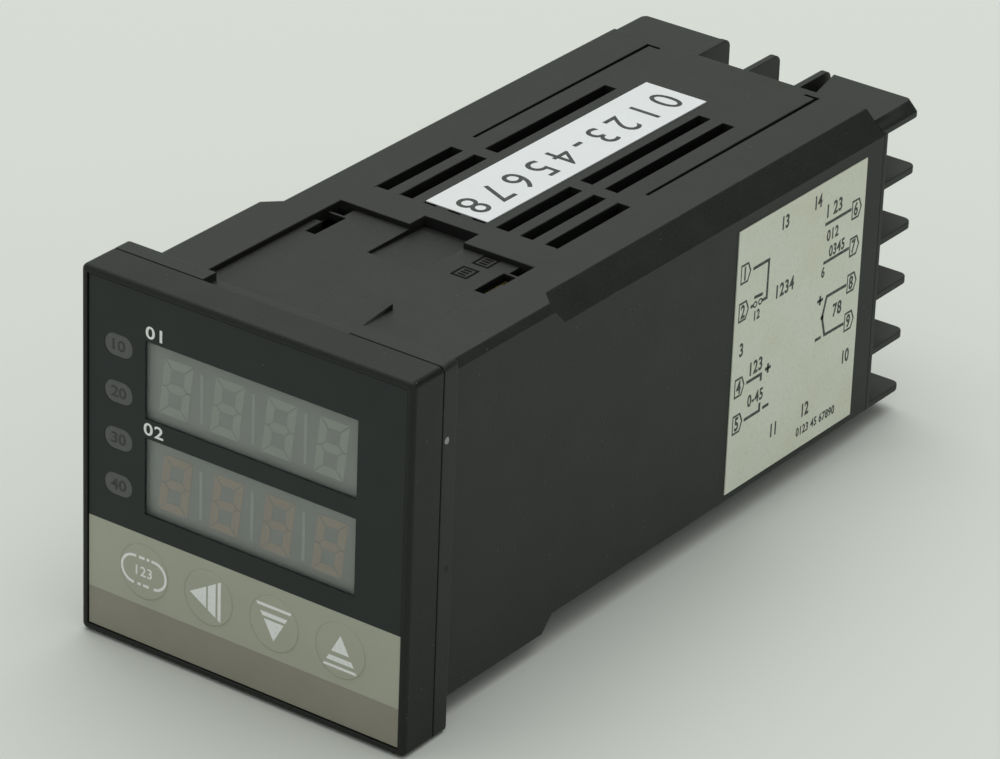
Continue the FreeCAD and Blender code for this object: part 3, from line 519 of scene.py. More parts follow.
@dataclass(frozen=True)
class DisplayFace(Finish):
    """Matt face of a numeral display, darker where it meets the lower edge of its window."""

    colour: Colour
    shadow: Colour
    lower_sill: float
    upper_sill: float
    left_edge: float
    relief: float = 0.005

    EDGE_REACH: ClassVar[float] = 2.0
    EDGE_SHADE: ClassVar[float] = 0.4
    SILL_REACH: ClassVar[Point] = (-0.6, 2.4)

    def shade(self, tree: ShaderTree) -> None:
        """Grey moulded face that falls into shade at its sill and left edge.

        Args:
            tree: The material's tree.
        """
        place = tree.place()
        across = tree.axis(place, 0)
        height = tree.axis(place, 2)
        step = self.upper_sill - self.lower_sill
        above = height - self.lower_sill - (height > self.upper_sill - 1.0) * step
        edge = across.ease(self.left_edge, self.left_edge + self.EDGE_REACH)
        lit = above.ease(*self.SILL_REACH) * (1 - self.EDGE_SHADE + edge * self.EDGE_SHADE)
        grain = tree.noise(place, per_mm=3.0)
        tone = tree.mix(lit, self.shadow, self.colour)
        tone = tree.mix(grain * 0.1, tone, self.shadow)
        tree.surface(tone, 0.55 + grain.swing(0.1), grain, self.relief)


@dataclass(frozen=True)
class Ink(Finish):
    """Printed ink that covers a little unevenly."""

    colour: Colour
    thin: Colour
    roughness: float = 0.5

    def shade(self, tree: ShaderTree) -> None:
        """Full ink with thinner spots."""
        cover = tree.noise(tree.place(), per_mm=3.0, detail=3.0).ease(0.3, 0.55)
        tree.surface(tree.mix(cover, self.thin, self.colour), self.roughness + cover * 0.08)


@dataclass(frozen=True)
class Paper(Finish):
    """Coated label stock with a speckle and slight yellowing."""

    colour: Colour
    aged: Colour
    fleck: float = 0.12
    fibre: Colour = (0.2, 0.2, 0.18)
    relief: float = 0.005

    def shade(self, tree: ShaderTree) -> None:
        """Fibre speckle, cloudy age and a shallow tooth.

        Args:
            tree: The material's tree.
        """
        place = tree.place()
        cloud = tree.noise(place, per_mm=0.12, detail=4.0)
        fibre = tree.noise(place, per_mm=3.5, detail=3.0)
        tone = tree.mix(cloud.ease(0.35, 0.7), self.colour, self.aged)
        tone = tree.mix(fibre.ease(0.5, 0.75) * self.fleck, tone, self.fibre)
        tree.surface(tone, 0.6 + fibre.swing(0.12), fibre, self.relief)


@dataclass(frozen=True)
class PlatedMetal(Finish):
    """Plated metal with fine rub marks and dull patches."""

    colour: Colour
    tarnish: Colour
    roughness: float = 0.3
    relief: float = 0.006

    def shade(self, tree: ShaderTree) -> None:
        """Bright plating that dulls in patches.

        Args:
            tree: The material's tree.
        """
        place = tree.place()
        patch = tree.noise(place, per_mm=0.6, detail=4.0).ease(0.45, 0.75)
        rub = tree.noise(place, per_mm=5.0)
        tone = tree.mix(patch, self.colour, self.tarnish)
        rough = self.roughness + patch * 0.18 + rub.swing(0.1)
        tree.surface(tone, rough, rub, self.relief, {"Metallic": 1.0})


@dataclass(frozen=True)
class SolderMask(Finish):
    """Lacquered circuit board with tracks under the lacquer.

    Each net of tracks has its run and pitch in millimetres and its stagger as a part of a run.
    """

    lacquer: Colour
    track: Colour
    shade_tone: Colour = (0.0, 0.02, 0.01)
    track_width: float = 0.12
    relief: float = 0.03

    NETS: ClassVar[tuple[Triple, ...]] = ((9.1, 1.7, 0.37), (2.9, 6.3, 0.61))
    MORTAR: ClassVar[int] = 1

    def tracks(self, tree: ShaderTree, place: Wire) -> Wire:
        """Mask of square-cornered tracks, which come in patches.

        Args:
            tree: The material's tree.
            place: Coordinates in millimetres.

        Returns:
            1 along the tracks and 0 elsewhere.
        """
        along = tree.axis(place, 0) + tree.axis(place, 1)
        flat = tree.node("ShaderNodeCombineXYZ", None, {0: along, 1: tree.axis(place, 2)})
        nets = []
        for run, pitch, stagger in self.NETS:
            settings = {"offset": stagger, "offset_frequency": 1}
            inputs = {"Vector": flat, "Scale": 1.0, "Brick Width": run, "Row Height": pitch}
            inputs |= {"Mortar Size": self.track_width, "Mortar Smooth": 0.2}
            nets.append(tree.node("ShaderNodeTexBrick", settings, inputs, self.MORTAR))
        return sum(nets) * tree.noise(place, per_mm=0.35).ease(0.4, 0.45)

    def shade(self, tree: ShaderTree) -> None:
        """Tracks raised under a gloss lacquer.

        Args:
            tree: The material's tree.
        """
        place = tree.place()
        tracks = self.tracks(tree, place)
        weave = tree.noise(place, per_mm=2.0)
        tone = tree.mix(tracks, self.lacquer, self.track)
        tone = tree.mix(weave * 0.2, tone, self.shade_tone)
        tree.surface(tone, 0.28 + weave * 0.1, tracks, self.relief)


@dataclass(frozen=True)
class CoilTape(Finish):
    """Yellow tape round a coil, in overlapping turns."""

    colour: Colour
    seam: Colour
    relief: float = 0.04

    def shade(self, tree: ShaderTree) -> None:
        """Turns of tape along the depth, with a darker seam at each lap.

        Args:
            tree: The material's tree.
        """
        place = tree.place()
        settings = {"bands_direction": "Y"}
        lap = tree.node("ShaderNodeTexWave", settings, {"Vector": place, "Scale": 0.16})
        grain = tree.noise(place, per_mm=1.2, detail=3.0)
        tone = tree.mix(lap.ease(0.9, 1.0), self.colour, self.seam)
        tone = tree.mix(grain * 0.15, tone, self.seam)
        tree.surface(tone, 0.32 + grain * 0.12, lap, self.relief)


@dataclass(frozen=True)
class CapacitorSleeve(Finish):
    """Shrunk sleeve with one pale stripe, and a bare metal end."""

    end: float
    stripe_low: float
    stripe_high: float
    sleeve: Colour = (0.02, 0.03, 0.09)
    stripe: Colour = (0.55, 0.58, 0.6)
    metal: Colour = (0.7, 0.7, 0.7)
    grime: Colour = (0.01, 0.01, 0.01)
    relief: float = 0.01

    def shade(self, tree: ShaderTree) -> None:
        """Stripe by height, metal past the sleeve's end.

        Args:
            tree: The material's tree.
        """
        place = tree.place()
        height = tree.axis(place, 2)
        stripe = (height > self.stripe_low) * (height < self.stripe_high)
        bare = tree.axis(place, 0) < self.end
        grain = tree.noise(place, per_mm=1.5, detail=3.0)
        tone = tree.mix(bare, tree.mix(stripe, self.sleeve, self.stripe), self.metal)
        tone = tree.mix(grain * 0.15, tone, self.grime)
        tree.surface(tone, 0.3 + grain * 0.15, grain, self.relief, {"Metallic": bare})


@dataclass(frozen=True)
class StudioFloor(Finish):
    """Pale seamless table top."""

    colour: Colour
    gloss: float = 0.1

    def shade(self, tree: ShaderTree) -> None:
        """An almost even tone with a faint cloud.

        Args:
            tree: The material's tree.
        """
        cloud = tree.noise(tree.place(), per_mm=0.004, detail=3.0)
        tone = tree.mix(cloud, scaled(self.colour, 0.985), scaled(self.colour, 1.015))
        tree.surface(tone, 0.7 + cloud * 0.1, more={"Specular IOR Level": self.gloss})


CASE = MouldedPlastic(
    "black_case",
    (0.017, 0.019, 0.0165),
    0.52,
    relief=0.045,
    mottle=0.35,
    dust=0.3,
    gloss=0.33,
    pockets=Pockets(middle=24.0, reach=19.0, half_width=20.0, front=-46.0, shade=0.35),
    nicks=(
        Nick((24.0, -47.85, 38.5), 0.42, (0.32, 0.33, 0.31)),
        Nick((24.0, -47.2, 21.9), 0.4, (0.002, 0.002, 0.002)),
    ),
)
# Edge finishes are a little lighter than their plastics: partly wear, partly a painted highlight
# on the rounded edges.
CASE_EDGE = WornEdge("case_edge", (0.02, 0.022, 0.0195), (0.035, 0.038, 0.034), gloss=0.33)
# Near-black print for the mould stamps: painted shade of their engraved lines.
STAMP_PAINTED_SHADE = MouldedPlastic("stamp_shade", (0.003, 0.0034, 0.003), 0.75, gloss=0.08)
BLOCK = MouldedPlastic(
    "black_terminal_block", (0.016, 0.018, 0.016), 0.5, mottle=0.35, dust=0.3, gloss=0.33
)
BLOCK_EDGE = WornEdge("block_edge", (0.019, 0.021, 0.019), (0.032, 0.035, 0.032), gloss=0.33)
FRAME = MouldedPlastic(
    "black_frame", (0.0105, 0.012, 0.0105), 0.48, 3.5, 0.035, 0.35, dust=0.3, gloss=0.27
)
FRAME_EDGE = WornEdge("frame_edge", (0.012, 0.0135, 0.012), (0.03, 0.033, 0.03), gloss=0.31)
FILM = PrintedFilm(
    "printed_film",
    upper=(0.019, 0.0245, 0.0225),
    band=(0.47, 0.485, 0.39),
    foot=(0.334, 0.327, 0.26),
    band_top=15.6,
    band_bottom=6.15,
)
WINDOW = SmokedWindow(
    "smoked_window_plastic", (0.365, 0.396, 0.368), 0.8, left_edge=-14.8, sills=(18.6, 31.1)
)
PANE = SmokedWindow("clear_pane", (0.1, 0.105, 0.1), 0.06)
DISPLAY = DisplayFace(
    "display_grey",
    (0.58, 0.61, 0.57),
    (0.1, 0.108, 0.106),
    lower_sill=18.4,
    upper_sill=30.9,
    left_edge=-14.5,
)
UPPER_SEGMENT = Ink("segment_green", (0.362, 0.402, 0.358), (0.35, 0.388, 0.345))
LOWER_SEGMENT = Ink("segment_amber", (0.382, 0.345, 0.284), (0.37, 0.342, 0.29))
DIVIDER = Ink("divider_grey", (0.37, 0.405, 0.38), (0.36, 0.395, 0.37))
GUIDE = MouldedPlastic("light_guide_dark", (0.07, 0.072, 0.068), 0.35, 2.0, 0.004)
LENS = MouldedPlastic("lamp_lens", (0.105, 0.11, 0.107), 0.4, 2.0, 0.003, gloss=0.3)
LAMP = MouldedPlastic("lamp_body", (0.6, 0.58, 0.5), 0.35, 2.0, 0.004)
WHITE_INK = Ink("white_ink", (0.93, 0.95, 0.93), (0.86, 0.88, 0.86))
DARK_INK = Ink("dark_ink", (0.03, 0.033, 0.031), (0.05, 0.053, 0.05))
LABEL_INK = Ink("label_ink", (0.04, 0.042, 0.038), (0.11, 0.115, 0.1))
STICKER_INK = Ink("sticker_ink", (0.03, 0.032, 0.03), (0.06, 0.063, 0.06))
LABEL_PAPER = Paper("label_stock", (0.76, 0.8, 0.68), (0.72, 0.745, 0.61), 0.16)
STICKER_PAPER = Paper("sticker_stock", (0.8, 0.84, 0.84), (0.78, 0.82, 0.81), 0.05)
BOARD = SolderMask("board_lacquer", (0.02, 0.12, 0.045), (0.06, 0.25, 0.09))
PLUNGER = MouldedPlastic("ivory_plunger", (0.62, 0.6, 0.52), 0.45, 2.0)
SWITCH = MouldedPlastic("switch_black", (0.018, 0.018, 0.018), 0.4, 3.0)
BRASS = PlatedMetal("tinned_brass", (0.78, 0.74, 0.62), (0.5, 0.44, 0.32))
STEEL = PlatedMetal("zinc_steel", (0.68, 0.68, 0.66), (0.42, 0.4, 0.34), 0.28)
SOLDER = PlatedMetal("solder", (0.72, 0.73, 0.74), (0.5, 0.5, 0.5), 0.25)
FERRITE = MouldedPlastic("ferrite_black", (0.05, 0.05, 0.055), 0.6, 1.5, 0.03)
TAPE = CoilTape("coil_tape", (0.72, 0.5, 0.08), (0.35, 0.22, 0.03))
BULK_CAN = CapacitorSleeve("bulk_can", end=-5.2, stripe_low=26.0, stripe_high=29.0)
OUTPUT_CAN = CapacitorSleeve("output_can", end=0.8, stripe_low=30.0, stripe_high=32.2)
RELAY = MouldedPlastic("relay_blue", (0.03, 0.09, 0.2), 0.38, 2.0)
CHIP = MouldedPlastic("chip_black", (0.02, 0.02, 0.021), 0.55, 5.0)
CERAMIC = MouldedPlastic("chip_part", (0.05, 0.05, 0.055), 0.4, 4.0)
FLOOR = StudioFloor("studio_floor", (0.755, 0.795, 0.735))
FLAG = StudioFloor("black_cloth", (0.004, 0.004, 0.004))


def linked(name: str, data: bpy.types.ID) -> bpy.types.Object:
    """A new object of the scene.

    Args:
        name: Its name.
        data: The mesh, text, lamp or camera that it holds.

    Returns:
        The object.
    """
    made = bpy.data.objects.new(name, data)
    bpy.context.scene.collection.objects.link(made)
    return made


def in_metres(shape: Shape) -> Shape:
    """The shape, brought from millimetres to metres."""
    shape.transform(Matrix.Scale(MM, 4))
    return shape


def baked(holder: bpy.types.Object) -> bpy.types.Mesh:
    """An object's mesh with its modifiers applied.

    Args:
        holder: The object, which is removed.

    Returns:
        The plain mesh.
    """
    depsgraph = bpy.context.evaluated_depsgraph_get()
    mesh = bpy.data.meshes.new_from_object(
        holder.evaluated_get(depsgraph), preserve_all_data_layers=True, depsgraph=depsgraph
    )
    holder.modifiers.clear()
    bpy.data.objects.remove(holder)
    return mesh


def new_mesh(name: str, shape: Shape, crease: float = 35.0) -> bpy.types.Mesh:
    """A smooth mesh from a shape.

    Args:
        name: Its name.
        shape: Its shape, which is used up.
        crease: Smallest angle of an edge that stays sharp, in degrees.

    Returns:
        The mesh.
    """
    mesh = bpy.data.meshes.new(name)
    shape.to_mesh(mesh)
    shape.free()
    mesh.polygons.foreach_set("use_smooth", [True] * len(mesh.polygons))
    mesh.set_sharp_from_angle(angle=math.radians(crease))
    return mesh


def new_piece(
    name: str,
    shape: Shape | bpy.types.Mesh,
    finish: Finish,
    body: Body,
) -> bpy.types.Object:
    """A piece of the part.

    Args:
        name: Its name.
        shape: Its shape in metres of the part.
        finish: Its finish, unless its mesh already has one.
        body: The body that it rides on.

    Returns:
        The object.
    """
    mesh = shape if isinstance(shape, bpy.types.Mesh) else new_mesh(name, shape)
    if not mesh.materials:
        mesh.materials.append(finish.material())
    made = linked(name, mesh)
    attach(made, body.value)
    LOG.info("%s: %d faces on %s", name, len(mesh.polygons), body.value)
    return made


def dress(finish: Finish, *nodes: str) -> None:
    """Give CAD nodes a finish.

    Args:
        finish: The finish.
        nodes: Names of the nodes.
    """
    for name in nodes:
        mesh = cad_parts[name].data
        mesh.materials.clear()
        mesh.materials.append(finish.material())
        LOG.info("%s: %s", name, finish.name)


def arc(centre: Point, radius: float, start: float, end: float, steps: int) -> list[Point]:
    """Points along an arc.

    Args:
        centre: Middle of the circle.
        radius: Its radius.
        start: First angle in degrees.
        end: Last angle in degrees.
        steps: Number of chords.

    Returns:
        The points from start to end, both included.
    """
    angles = (math.radians(start + (end - start) * i / steps) for i in range(steps + 1))
    return [(centre[0] + radius * math.cos(a), centre[1] + radius * math.sin(a)) for a in angles]


def circle(centre: Point, radius: float, steps: int) -> list[Point]:
    """Points round a circle, the first not repeated."""
    return arc(centre, radius, 0, 360, steps)[:-1]


def rectangle(half_width: float, half_height: float) -> list[Point]:
    """Corners of a rectangle about the origin."""
    corners = ((-1, -1), (1, -1), (1, 1), (-1, 1))
    return [(x * half_width, y * half_height) for x, y in corners]


def offset_line(points: Sequence[Point], distance: float) -> list[Point]:
    """A polyline moved sideways to its left, with mitred corners.

    Args:
        points: Corners of the line.
        distance: How far to the left; negative is to the right.

    Returns:
        The moved corners.
    """
    runs = [Vector(b) - Vector(a) for a, b in zip(points, points[1:])]
    sides = [Vector((-run.y, run.x)).normalized() for run in runs]
    joined = [a + b for a, b in zip(sides, sides[1:])]
    moves = [sides[0], *(side * 2 / side.length_squared for side in joined), sides[-1]]
    return [tuple(Vector(p) + move * distance) for p, move in zip(points, moves)]


def flat_text(
    words: str, height: float, spacing: float, squeeze: float, weight: float
) -> bpy.types.Mesh:
    """Digits as a flat mesh centred on the origin.

    Args:
        words: Digits and dashes.
        height: Height of the tallest digit in millimetres.
        spacing: Letter spacing as a multiple of the normal one.
        squeeze: Width as a multiple of the normal one.
        weight: How much the strokes grow on each side, as a part of the text size.

    Returns:
        A mesh in the XY plane, in millimetres.
    """
    curve = bpy.data.curves.new("words", "FONT")
    curve.body = words
    curve.offset = weight
    curve.space_character = spacing
    curve.resolution_u = 5
    mesh = baked(linked("words", curve))
    bpy.data.curves.remove(curve)
    across = [v.co.x for v in mesh.vertices]
    tall = [v.co.y for v in mesh.vertices]
    size = height / (max(tall) - min(tall))
    middle = Vector((min(across) + max(across), min(tall) + max(tall), 0)) / 2
    fit = Matrix.Diagonal((size * squeeze, size, 1, 1))
    mesh.transform(fit @ Matrix.Translation(-middle))
    return mesh


@dataclass(frozen=True)
class Plane:
    """A flat place on the part: its origin, the side that it faces and the scale of its marks."""

    origin: Place
    facing: Facing
    scale: float = 1.0

    def matrix(self) -> Matrix:
        """Where the plane lies.

        Returns:
            From flat millimetres, with height off the plane, to metres of the part.
        """
        right, up = (Vector(axis) for axis in self.facing.value)
        turn = Matrix((right, up, right.cross(up))).transposed().to_4x4()
        size = Matrix.Scale(self.scale, 4)
        return Matrix.Scale(MM, 4) @ Matrix.Translation(self.origin) @ turn @ size


class Print:
    """Flat marks gathered on one plane, as thick as a layer of ink or sheet."""

    def __init__(self, plane: Plane, thickness: float = INK) -> None:
        """Start with no marks.

        Args:
            plane: The plane that carries them.
            thickness: How far they stand off it, in millimetres.
        """
        self.plane = plane
        self.thickness = thickness
        self.shape = bmesh.new()

    def _ring(self, points: Iterable[Point], height: float) -> list[Corner]:
        """Corners of an outline at one height."""
        return [self.shape.verts.new((x, y, height)) for x, y in points]

    def _walls(self, first: list[Corner], second: list[Corner]) -> None:
        """Quads between two outlines.

        Args:
            first: Corners of one outline.
            second: As many corners of the other.
        """
        for i in range(len(first)):
            j = (i + 1) % len(first)
            self.shape.faces.new((first[i], first[j], second[j], second[i]))

    def polygon(self, points: Sequence[Point]) -> None:
        """A filled outline.

        Args:
            points: Its corners.
        """
        lower = self._ring(points, 0.0)
        upper = self._ring(points, self.thickness)
        self.shape.faces.new(upper)
        self.shape.faces.new(lower[::-1])
        self._walls(lower, upper)

    def band(self, outer: Sequence[Point], inner: Sequence[Point]) -> None:
        """A closed band between two outlines.

        Args:
            outer: Corners of its outer edge.
            inner: As many corners of its inner edge.
        """
        top = self.thickness
        levels = ((outer, 0.0), (outer, top), (inner, top), (inner, 0.0))
        rings = [self._ring(points, height) for points, height in levels]
        for first, second in zip(rings, rings[1:] + rings[:1]):
            self._walls(first, second)

    def stroke(self, points: Sequence[Point], width: float) -> None:
        """An open line.

        Args:
            points: Its corners.
            width: Its width.
        """
        left = offset_line(points, width / 2)
        right = offset_line(points, -width / 2)
        self.polygon(right + left[::-1])

    def ring(self, centre: Point, radius: float, width: float, steps: int) -> None:
        """A round line about a centre."""
        outer = circle(centre, radius + width / 2, steps)
        self.band(outer, circle(centre, radius - width / 2, steps))

    def text(
        self,
        words: str,
        centre: Point,
        height: float,
        spacing: float = 1.0,
        squeeze: float = 1.0,
        weight: float = 0.0,
    ) -> None:
        """Digits about a centre.

        Args:
            words: Digits and dashes.
            centre: Middle of the line.
            height: Height of the digits.
            spacing: Letter spacing as a multiple of the normal one.
            squeeze: Width as a multiple of the normal one.
            weight: How much the strokes grow on each side, as a part of the text size.
        """
        mesh = flat_text(words, height, spacing, squeeze, weight)
        mesh.transform(Matrix.Translation((*centre, 0)))
        part = bmesh.new()
        part.from_mesh(mesh)
        bmesh.ops.remove_doubles(part, verts=part.verts, dist=MM)
        grown = bmesh.ops.extrude_face_region(part, geom=part.faces[:], use_keep_orig=True)
        raised = [e for e in grown["geom"] if isinstance(e, Corner)]
        bmesh.ops.translate(part, verts=raised, vec=(0, 0, self.thickness))
        bmesh.ops.recalc_face_normals(part, faces=part.faces)
        part.to_mesh(mesh)
        part.free()
        self.shape.from_mesh(mesh)
        bpy.data.meshes.remove(mesh)

    def bake(self) -> Shape:
        """Turn the faces outwards and put the marks in place.

        Returns:
            The marks in metres of the part.
        """
        bmesh.ops.recalc_face_normals(self.shape, faces=self.shape.faces)
        self.shape.transform(self.plane.matrix())
        return self.shape

    def piece(self, name: str, finish: Finish, body: Body, slot: str = "") -> bpy.types.Object:
        """The marks as one piece of the part."""
        return new_piece(name, self.bake(), finish, body)


def lathe(profile: Sequence[Point], steps: int) -> Shape:
    """A turned solid about +Y.

    Args:
        profile: Radius and height pairs from the top's middle to the bottom's middle.
        steps: Sides of the turning.

    Returns:
        The closed solid, in metres.
    """
    shape = bmesh.new()
    rings = []
    for radius, height in profile:
        points = circle((0, 0), radius, steps) if radius else [(0, 0)]
        rings.append([shape.verts.new((x, height, z)) for x, z in points])
    for upper, lower in zip(rings, rings[1:]):
        for i in range(steps):
            j = (i + 1) % steps
            corners = [upper[i % len(upper)], upper[j % len(upper)]]
            corners += [lower[j % len(lower)], lower[i % len(lower)]]
            shape.faces.new(list(dict.fromkeys(corners)))
    bmesh.ops.recalc_face_normals(shape, faces=shape.faces)
    return in_metres(shape)


def block(low: Place, high: Place, rounding: float) -> Shape:
    """A small block with rounded edges.

    Args:
        low: Its lowest corner, in millimetres.
        high: Its highest corner, in millimetres.
        rounding: Width of the rounding, in millimetres.

    Returns:
        The block, in metres.
    """
    shape = bmesh.new()
    bmesh.ops.create_cube(shape, size=1.0)
    size = Vector(high) - Vector(low)
    middle = (Vector(high) + Vector(low)) / 2
    shape.transform(Matrix.Translation(middle) @ Matrix.Diagonal((*size, 1)))
    edges = {"geom": shape.edges[:], "affect": "EDGES"}
    bmesh.ops.bevel(shape, offset=rounding, segments=2, profile=0.5, **edges)
    return in_metres(shape)


def cut_out(solid: Shape, cutter: Shape) -> Shape:
    """Cut one shape out of another, both in metres.

    Args:
        solid: What is cut.
        cutter: What is taken away.

    Returns:
        What is left of the solid.
    """
    blank = linked("blank", new_mesh("blank", solid))
    tool = linked("cutter", new_mesh("cutter", cutter))
    boolean = blank.modifiers.new("cut", "BOOLEAN")
    boolean.object = tool
    boolean.solver = "EXACT"
    mesh = baked(blank)
    bpy.data.objects.remove(tool)
    shape = bmesh.new()
    shape.from_mesh(mesh)
    bpy.data.meshes.remove(mesh)
    return shape


@dataclass(frozen=True)
class Moulding:
    """A moulded piece that stands for a CAD node, with its long outward edges rounded.

    FLAT is the angle in degrees below which two faces are one, and CREASE the angle above which
    an edge is sharp. Edges that turn by less than the angle with the cosine STRAIGHT are one run,
    and a run is rounded if it is longer than LEAST_RUN millimetres.
    """

    name: str
    node: str
    slot: str
    body: Body
    finish: Finish
    edge: Finish
    rounding: float

    FLAT: ClassVar[float] = 0.6
    CREASE: ClassVar[float] = 20.0
    STRAIGHT: ClassVar[float] = 0.8
    LEAST_RUN: ClassVar[float] = 2.5

    def merged(self) -> Shape:
        """Join the node's triangles.

        Returns:
            The node's shape in whole faces.
        """
        shape = bmesh.new()
        shape.from_mesh(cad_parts[self.node].data)
        bmesh.ops.remove_doubles(shape, verts=shape.verts, dist=MERGE)
        limit = math.radians(self.FLAT)
        verts, edges = shape.verts[:], shape.edges[:]
        bmesh.ops.dissolve_limit(shape, angle_limit=limit, verts=verts, edges=edges)
        return shape

    def take_run(self, sharp: set[Edge]) -> list[Edge]:
        """Take one run of edges that go on smoothly out of a set.

        Args:
            sharp: The edges to choose from, which lose those of the run.

        Returns:
            The edges of the run.
        """
        run, ends = [], [sharp.pop()]
        while ends:
            edge = ends.pop()
            run.append(edge)
            for corner in edge.verts:
                along = (corner.co - edge.other_vert(corner).co).normalized()
                for other in [e for e in corner.link_edges if e in sharp]:
                    onward = (other.other_vert(corner).co - corner.co).normalized()
                    if along.dot(onward) > self.STRAIGHT:
                        sharp.remove(other)
                        ends.append(other)
        return run

    def mark_edges(self, shape: Shape) -> None:
        """Weigh the long outward edges for rounding, and crease the other sharp ones.

        Args:
            shape: The shape that is marked.
        """
        weight = shape.edges.layers.float.new("bevel_weight_edge")
        crease = math.radians(self.CREASE)
        turned = [e for e in shape.edges if e.is_manifold and e.calc_face_angle() > crease]
        for edge in turned:
            edge.smooth = False
        sharp = {edge for edge in turned if edge.is_convex}
        while sharp:
            run = self.take_run(sharp)
            if sum(edge.calc_length() for edge in run) > self.LEAST_RUN * MM:
                for edge in run:
                    edge[weight] = 1.0
                    edge.smooth = True

    def build(self) -> None:
        """Round the edges and let the piece stand for its node."""
        shape = self.merged()
        self.mark_edges(shape)
        mesh = bpy.data.meshes.new(self.node + "_eased")
        shape.to_mesh(mesh)
        shape.free()
        mesh.materials.clear()
        for finish in (self.finish, self.edge):
            mesh.materials.append(finish.material())
        mesh.polygons.foreach_set("use_smooth", [True] * len(mesh.polygons))
        mesh.polygons.foreach_set("material_index", [0] * len(mesh.polygons))
        holder = linked(mesh.name, mesh)
        bevel = holder.modifiers.new("rounding", "BEVEL")
        bevel.width = self.rounding * MM
        bevel.segments = 2
        bevel.limit_method = "WEIGHT"
        bevel.use_clamp_overlap = False
        # The rounded faces take the edge finish, whose lighter tone is partly a painted
        # highlight.
        bevel.material = 1
        weighted = holder.modifiers.new("flat_faces", "WEIGHTED_NORMAL")
        weighted.weight = 100
        weighted.keep_sharp = True
        piece = new_piece(self.name, baked(holder), self.finish, self.body)
        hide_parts(self.node)


@dataclass(frozen=True)
class Row:
    """A straight row of copies: how many, from where, how far apart and how turned."""

    count: int
    start: Place
    step: Place
    turn: Place = (0.0, 0.0, 0.0)


class RowTree:
    """Geometry nodes that set copies of one shape in a straight row."""

    SOCKETS: ClassVar[tuple[tuple[str, str], ...]] = (
        ("Piece", "NodeSocketObject"),
        ("Count", "NodeSocketInt"),
        ("Start", "NodeSocketVector"),
        ("Step", "NodeSocketVector"),
        ("Turn", "NodeSocketVector"),
        ("Finish", "NodeSocketMaterial"),
    )

    def __init__(self) -> None:
        """Build the tree once."""
        self.tree = bpy.data.node_groups.new("row_of_pieces", "GeometryNodeTree")
        face = self.tree.interface
        face.new_socket("Geometry", in_out="OUTPUT", socket_type="NodeSocketGeometry")
        self.keys = {
            label: face.new_socket(label, in_out="INPUT", socket_type=kind).identifier
            for label, kind in self.SOCKETS
        }
        add = self.tree.nodes.new
        given = add("NodeGroupInput")
        line = add("GeometryNodeMeshLine")
        line.mode = "OFFSET"
        line.count_mode = "TOTAL"
        source = add("GeometryNodeObjectInfo")
        copies = add("GeometryNodeInstanceOnPoints")
        real = add("GeometryNodeRealizeInstances")
        paint = add("GeometryNodeSetMaterial")
        end = add("NodeGroupOutput")
        for start, label, target, socket in (
            (given, "Piece", source, "Object"),
            (given, "Count", line, "Count"),
            (given, "Start", line, "Start Location"),
            (given, "Step", line, "Offset"),
            (given, "Turn", copies, "Rotation"),
            (given, "Finish", paint, "Material"),
            (line, "Mesh", copies, "Points"),
            (source, "Geometry", copies, "Instance"),
            (copies, "Instances", real, "Geometry"),
            (real, "Geometry", paint, "Geometry"),
            (paint, "Geometry", end, "Geometry"),
        ):
            self.tree.links.new(start.outputs[label], target.inputs[socket])

    def piece(
        self,
        name: str,
        shape: Shape,
        rows: Sequence[Row],
        finish: Finish,
        body: Body,
        slot: str = "",
    ) -> bpy.types.Object:
        """Copies of one shape in rows, as one piece of the part.

        Args:
            name: Name of the piece.
            shape: The shape to copy, in metres about its own origin.
            rows: Where the copies go, in millimetres and degrees.
            finish: Finish of the copies.
            body: The body that they ride on.
            slot: The record's material slot, if they have one; not used.

        Returns:
            The object.
        """
        one = linked(name + "_one", new_mesh(name + "_one", shape))
        whole = bmesh.new()
        for row in rows:
            holder = linked(name + "_row", bpy.data.meshes.new(name + "_row"))
            modifier = holder.modifiers.new("row", "NODES")
            modifier.node_group = self.tree
            values = {
                "Piece": one,
                "Count": row.count,
                "Start": [MM * c for c in row.start],
                "Step": [MM * c for c in row.step],
                "Turn": [math.radians(c) for c in row.turn],
                "Finish": finish.material(),
            }
            for label, value in values.items():
                modifier[self.keys[label]] = value
            part = baked(holder)
            whole.from_mesh(part)
            bpy.data.meshes.remove(part)
        bpy.data.objects.remove(one)
        return new_piece(name, whole, finish, body)


ROWS = RowTree()


class SubAssembly:
    """A group of pieces that is built and then dressed."""

    def build(self) -> None:
        """Make the group's own pieces."""
        raise NotImplementedError

    def dress(self) -> None:
        """Finish the CAD nodes that stay, where the group has any."""


